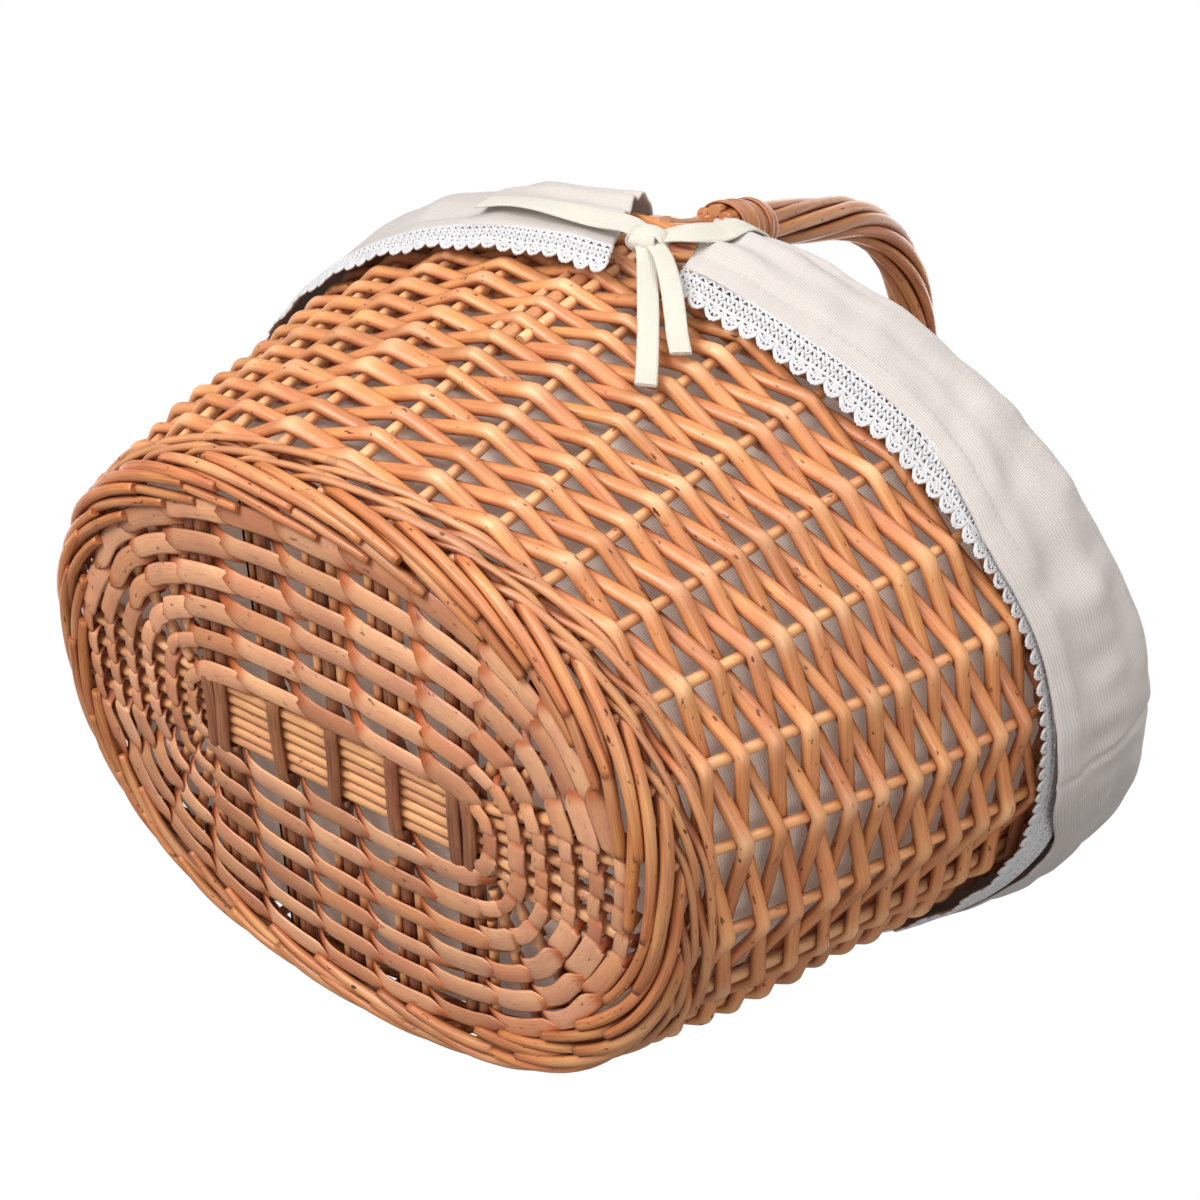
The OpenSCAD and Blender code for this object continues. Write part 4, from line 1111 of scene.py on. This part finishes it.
def makeLace(name, node, p, q, half):
    # Threads in a strip: cords at the top, two rows of crossing loops cos(4 pi x), then fans under
    # scalloped edges |sin(pi x)|^0.6, with x counted in scallops
    count = p["scallops"]
    place = np.linspace(0, count, count * p["perScallop"] + 1)[None]
    arch = np.abs(np.sin(np.pi * place))
    loop = np.cos(fullTurn * 2 * place)
    picot = np.abs(np.sin(fullTurn * 2.5 * place))
    rows = np.concatenate([
        -0.6 + 0 * place, 1.7 + 0 * place, 0.6 + 0.9 * loop,
        3.3 + 1.5 * loop, 3.3 - 1.5 * loop, 5.9 + 1.5 * loop, 5.9 - 1.5 * loop,
        p["below"] + 0 * place, p["below"] + 2.7 * arch ** 0.7,
        7.4 + 4.7 * arch ** 0.6, 7.9 + 4.6 * arch ** 0.6 + 0.7 * picot])
    size = p["thread"] * np.array([1.25, 1.1, 0.9, 1, 1, 1, 1, 1.1, 0.9, 1.15, 0.9])[:, None]
    rng = np.random.default_rng(half["seed"])
    rows = rows + 0.18 * wander(rng, len(rows), place.size, 40, False)
    along = place / count + 0 * rows
    face = wallNormal(cuffAngle(along, 150.0, 10.0) + half["turn"], np.full(rows.shape, 150.0))
    swing = np.array([0, 0, 0.3, 0.25, -0.25, 0.25, -0.25, 0.2, 0, 0, 0.1])[:, None, None]
    parts = [sweep(lacePoint(along, rows, q, half) + face * swing, face, size, size, 5, rng=rng)]
    # The spokes of each fan spread from one place
    s = np.linspace(0, 1, 5)[None, None]
    fan = np.arange(count)[:, None, None] + 0.5
    lean = np.linspace(-1, 1, p["spokes"])[None, :, None]
    along = (fan + lean * (0.08 + 0.27 * s)).reshape(-1, 5) / count
    down = (p["below"] + (p["fanDeep"] - 1.5 * np.abs(lean)) * s + 0 * fan).reshape(-1, 5)
    face = wallNormal(cuffAngle(along, 145.0, 9.0) + half["turn"], np.full(along.shape, 145.0))
    size = p["thread"] * 0.9
    parts.append(sweep(lacePoint(along, down, q, half), face, size, size, 4, rng=rng))
    return makePiece(name, parts, cloth["lace"], [node])


for side, half in halves.items():
    cuffPiece = makeCuff(f"cuff_{side}_cloth", f"liner_cuff_{side}", cuff, half)
    lacePiece = makeLace(f"lace_{side}_threads", f"lace_{side}", lace, cuff, half)

# Tie tapes: x from the middle of the front, height z and distance off the wall along straps and tails
tape = {
    "strapHalf": 5.0, "tailHalf": 3.7, "thick": 0.6, "steps": 70,
    "knotX": 20.0, "knotZ": 154.5, "knotOff": 15.5,
    "left": {
        "flatLong": 0.155, "knotBand": 0,
        "strap": {"x": [20, 10, -6, -24, -44, -62], "z": [155, 157.5, 159.5, 160.5, 162, 163.5],
                  "off": [16, 16.8, 15.6, 15.4, 15.4, 14.9]},
        "tail": {"x": [19, 25, 34, 45, 55, 61.5], "z": [153, 147, 135.5, 121, 107, 97.5],
                 "off": [15, 15.5, 12.4, 10.2, 9.6, 9.9]}},
    "right": {
        "flatLong": 0.105, "knotBand": 1,
        "strap": {"x": [20, 27, 33, 37, 39, 40], "z": [155, 159, 165, 173, 183, 193],
                  "off": [16, 17.5, 17.2, 16.2, 15.4, 9.5]},
        "tail": {"x": [23, 31, 40, 48, 55, 61.5], "z": [153, 148, 140, 131.5, 123.5, 116.5],
                 "off": [16.5, 16.4, 13.6, 11.4, 10.4, 10.4]}},
    # Node, the side whose run it takes, and its seed
    "nodes": {"tape_front_left": ("left", 54), "tape_front_right": ("right", 55),
              "tape_back_right": ("left", 44), "tape_back_left": ("right", 45)},
    # Lie of each knot band in radians, half its width, and its reach across and off the wall
    "bands": [(1.75, 4.6, 5.4, 3.6), (0.2, 3.2, 6.6, 4.2)],
}


def tapePart(points, p, rng, half, wave, gather):
    # Flat tape along a smooth curve through the points, waving by sin(2.6 pi s) sin(pi s) and gathered
    # at the knot by gather exp(-7 s)
    s = np.linspace(0, 1, p["steps"])
    x, z, off = (spline(points[key], s) for key in ("x", "z", "off"))
    off = off + wave * np.sin(fullTurn * s * 1.3 + rng.uniform(0, 6)) * np.sin(np.pi * s)
    t = frontAngle(x, z, off)
    line = wallPoint(t, z, off)
    normal = wallNormal(t, z)
    twist = 0.25 * np.sin(fullTurn * s * 0.8 + rng.uniform(0, 6)) * np.sin(np.pi * s)
    sideways = unit(np.cross(np.gradient(line, axis=0), normal))
    face = normal * np.cos(twist)[:, None] + sideways * np.sin(twist)[:, None]
    wide = half * (1 - gather * np.exp(-s * 7))
    thick = p["thick"] * (1 + 1.2 * gather * np.exp(-s * 7))
    return sweep(line[None], face[None], wide[None], thick[None], 12, 4.0, rng=rng)


def knotPart(p, band, rng):
    # Flat band round the crossing: centre + reach cos(a) across + deep sin(a) outwards
    lie, wide, reach, deep = band
    t = frontAngle(p["knotX"], p["knotZ"], p["knotOff"])
    centre, normal = wallPoint(t, p["knotZ"], p["knotOff"]), wallNormal(t, p["knotZ"])
    a = np.linspace(0, fullTurn, 40, endpoint=False)
    across = np.array([np.cos(lie), 0, np.sin(lie)])
    line = centre + reach * np.cos(a)[:, None] * across + deep * np.sin(a)[:, None] * normal
    outwards = np.cos(a)[:, None] * across / reach + np.sin(a)[:, None] * normal / deep
    wide = wide * (1 + 0.12 * np.cos(2 * a))
    return sweep(line[None], outwards[None], wide[None], 0.9, 10, 3.0, True, rng=rng)


def makeTapes(p):
    # Front tapes lie as listed, and the back ones are the same turned by half a turn, P' = (-x, -y, z)
    for node, (side, seed) in p["nodes"].items():
        rng = np.random.default_rng(seed)
        run = p[side]
        parts = [tapePart(run["strap"], p, rng, p["strapHalf"], 0.5, 0.3),
                 tapePart(run["tail"], p, rng, p["tailHalf"], 0.8, 0.15)]
        knot = [knotPart(p, band, rng) for band in p["bands"]][run["knotBand"]]
        if "back" in node:
            for part in parts + [knot]:
                part["points"] = part["points"] * [-1, -1, 1]
        piece = makePiece(node + "_cloth", parts, cloth["tape"], [node])
        knotPiece = makePiece(node.replace("tape", "knot"), [knot], cloth["tape"], [])


makeTapes(tape)


# Floor, lights and world
floorLook = {"reach": 14.0, "shade": 0.8, "farShade": 0.9, "fadeFrom": 0.15, "fadeTo": 1.6}


def makeFloor(p):
    # Seen from above only: its underside lets the view through, and it casts nothing on the basket.
    # It fades with the distance from the basket to one even shade
    mesh = bpy.data.meshes.new("floor")
    corners = [(x * p["reach"], y * p["reach"], 0) for x, y in ((-1, -1), (1, -1), (1, 1), (-1, 1))]
    mesh.from_pydata(corners, [], [(0, 1, 2, 3)])
    floor = bpy.data.objects.new("floor", mesh)
    bpy.context.scene.collection.objects.link(floor)
    material = bpy.data.materials.new("paleFloor")
    material.use_nodes = True
    tree = material.node_tree
    shader = tree.nodes["Principled BSDF"]
    shader.inputs["Base Color"].default_value = (p["shade"], p["shade"], p["shade"], 1)
    shader.inputs["Roughness"].default_value = 0.7
    place = addNode(tree, "ShaderNodeTexCoord").outputs["Object"]
    away = addNode(tree, "ShaderNodeVectorMath", {0: place}, operation="LENGTH").outputs["Value"]
    even = addNode(tree, "ShaderNodeEmission", {"Color": (p["farShade"], p["farShade"], p["farShade"], 1)})
    far = spread(tree, away, p["fadeFrom"], p["fadeTo"], 0.5, 1.0)
    top = addNode(tree, "ShaderNodeMixShader", {0: far, 1: shader.outputs[0], 2: even.outputs[0]})
    clear = addNode(tree, "ShaderNodeBsdfTransparent")
    back = addNode(tree, "ShaderNodeNewGeometry").outputs["Backfacing"]
    mix = addNode(tree, "ShaderNodeMixShader", {0: back, 1: top.outputs[0], 2: clear.outputs[0]})
    tree.links.new(mix.outputs[0], tree.nodes["Material Output"].inputs["Surface"])
    mesh.materials.append(material)
    floor.visible_shadow = False
    floor.visible_diffuse = False
    floor.visible_glossy = False


# Places in metres, sizes in metres and power in watts
lights = {
    "key": {"place": (-0.25, -0.95, -0.55), "size": 0.65, "watts": 14.5},
    "high": {"place": (0.5, -1.15, 0.45), "size": 0.7, "watts": 7.0},
    "low": {"place": (1.1, -0.45, -0.7), "size": 0.6, "watts": 6.5},
    "top": {"place": (-0.3, 0.4, 1.5), "size": 1.4, "watts": 20.0},
    "left": {"place": (-1.3, 0.6, 0.4), "size": 1.0, "watts": 5.0},
}


def makeLights(table, aim):
    # Square lamps turned to the aim: back = place - aim, side = up x back
    for name, p in table.items():
        data = bpy.data.lights.new(name, "AREA")
        data.size = p["size"]
        data.energy = p["watts"]
        lamp = bpy.data.objects.new(name, data)
        bpy.context.scene.collection.objects.link(lamp)
        back = unit(np.array(p["place"]) - aim)
        side = unit(np.cross([0.0, 0, 1], back))
        axes = np.eye(4)
        axes[:3] = np.stack([side, np.cross(back, side), back, p["place"]], 1)
        lamp.matrix_world = Matrix(axes.tolist())
        lamp.visible_camera = False


def makeWorld():
    # White where the camera sees it, and a weak warm light on everything else
    world = bpy.data.worlds.new("studio")
    world.use_nodes = True
    tree = world.node_tree
    tree.nodes.clear()
    seen = addNode(tree, "ShaderNodeBackground", {"Color": (1, 1, 1, 1), "Strength": 1.0})
    cast = addNode(tree, "ShaderNodeBackground", {"Color": (1, 0.975, 0.95, 1), "Strength": 0.25})
    isCamera = addNode(tree, "ShaderNodeLightPath").outputs["Is Camera Ray"]
    mix = addNode(tree, "ShaderNodeMixShader", {0: isCamera, 1: cast.outputs[0], 2: seen.outputs[0]})
    addNode(tree, "ShaderNodeOutputWorld", {"Surface": mix.outputs[0]})
    bpy.context.scene.world = world
    bpy.context.scene.view_settings.view_transform = "Standard"


makeFloor(floorLook)
makeLights(lights, np.array([0.0, 0, 0.13]))
makeWorld()
print("stage set")
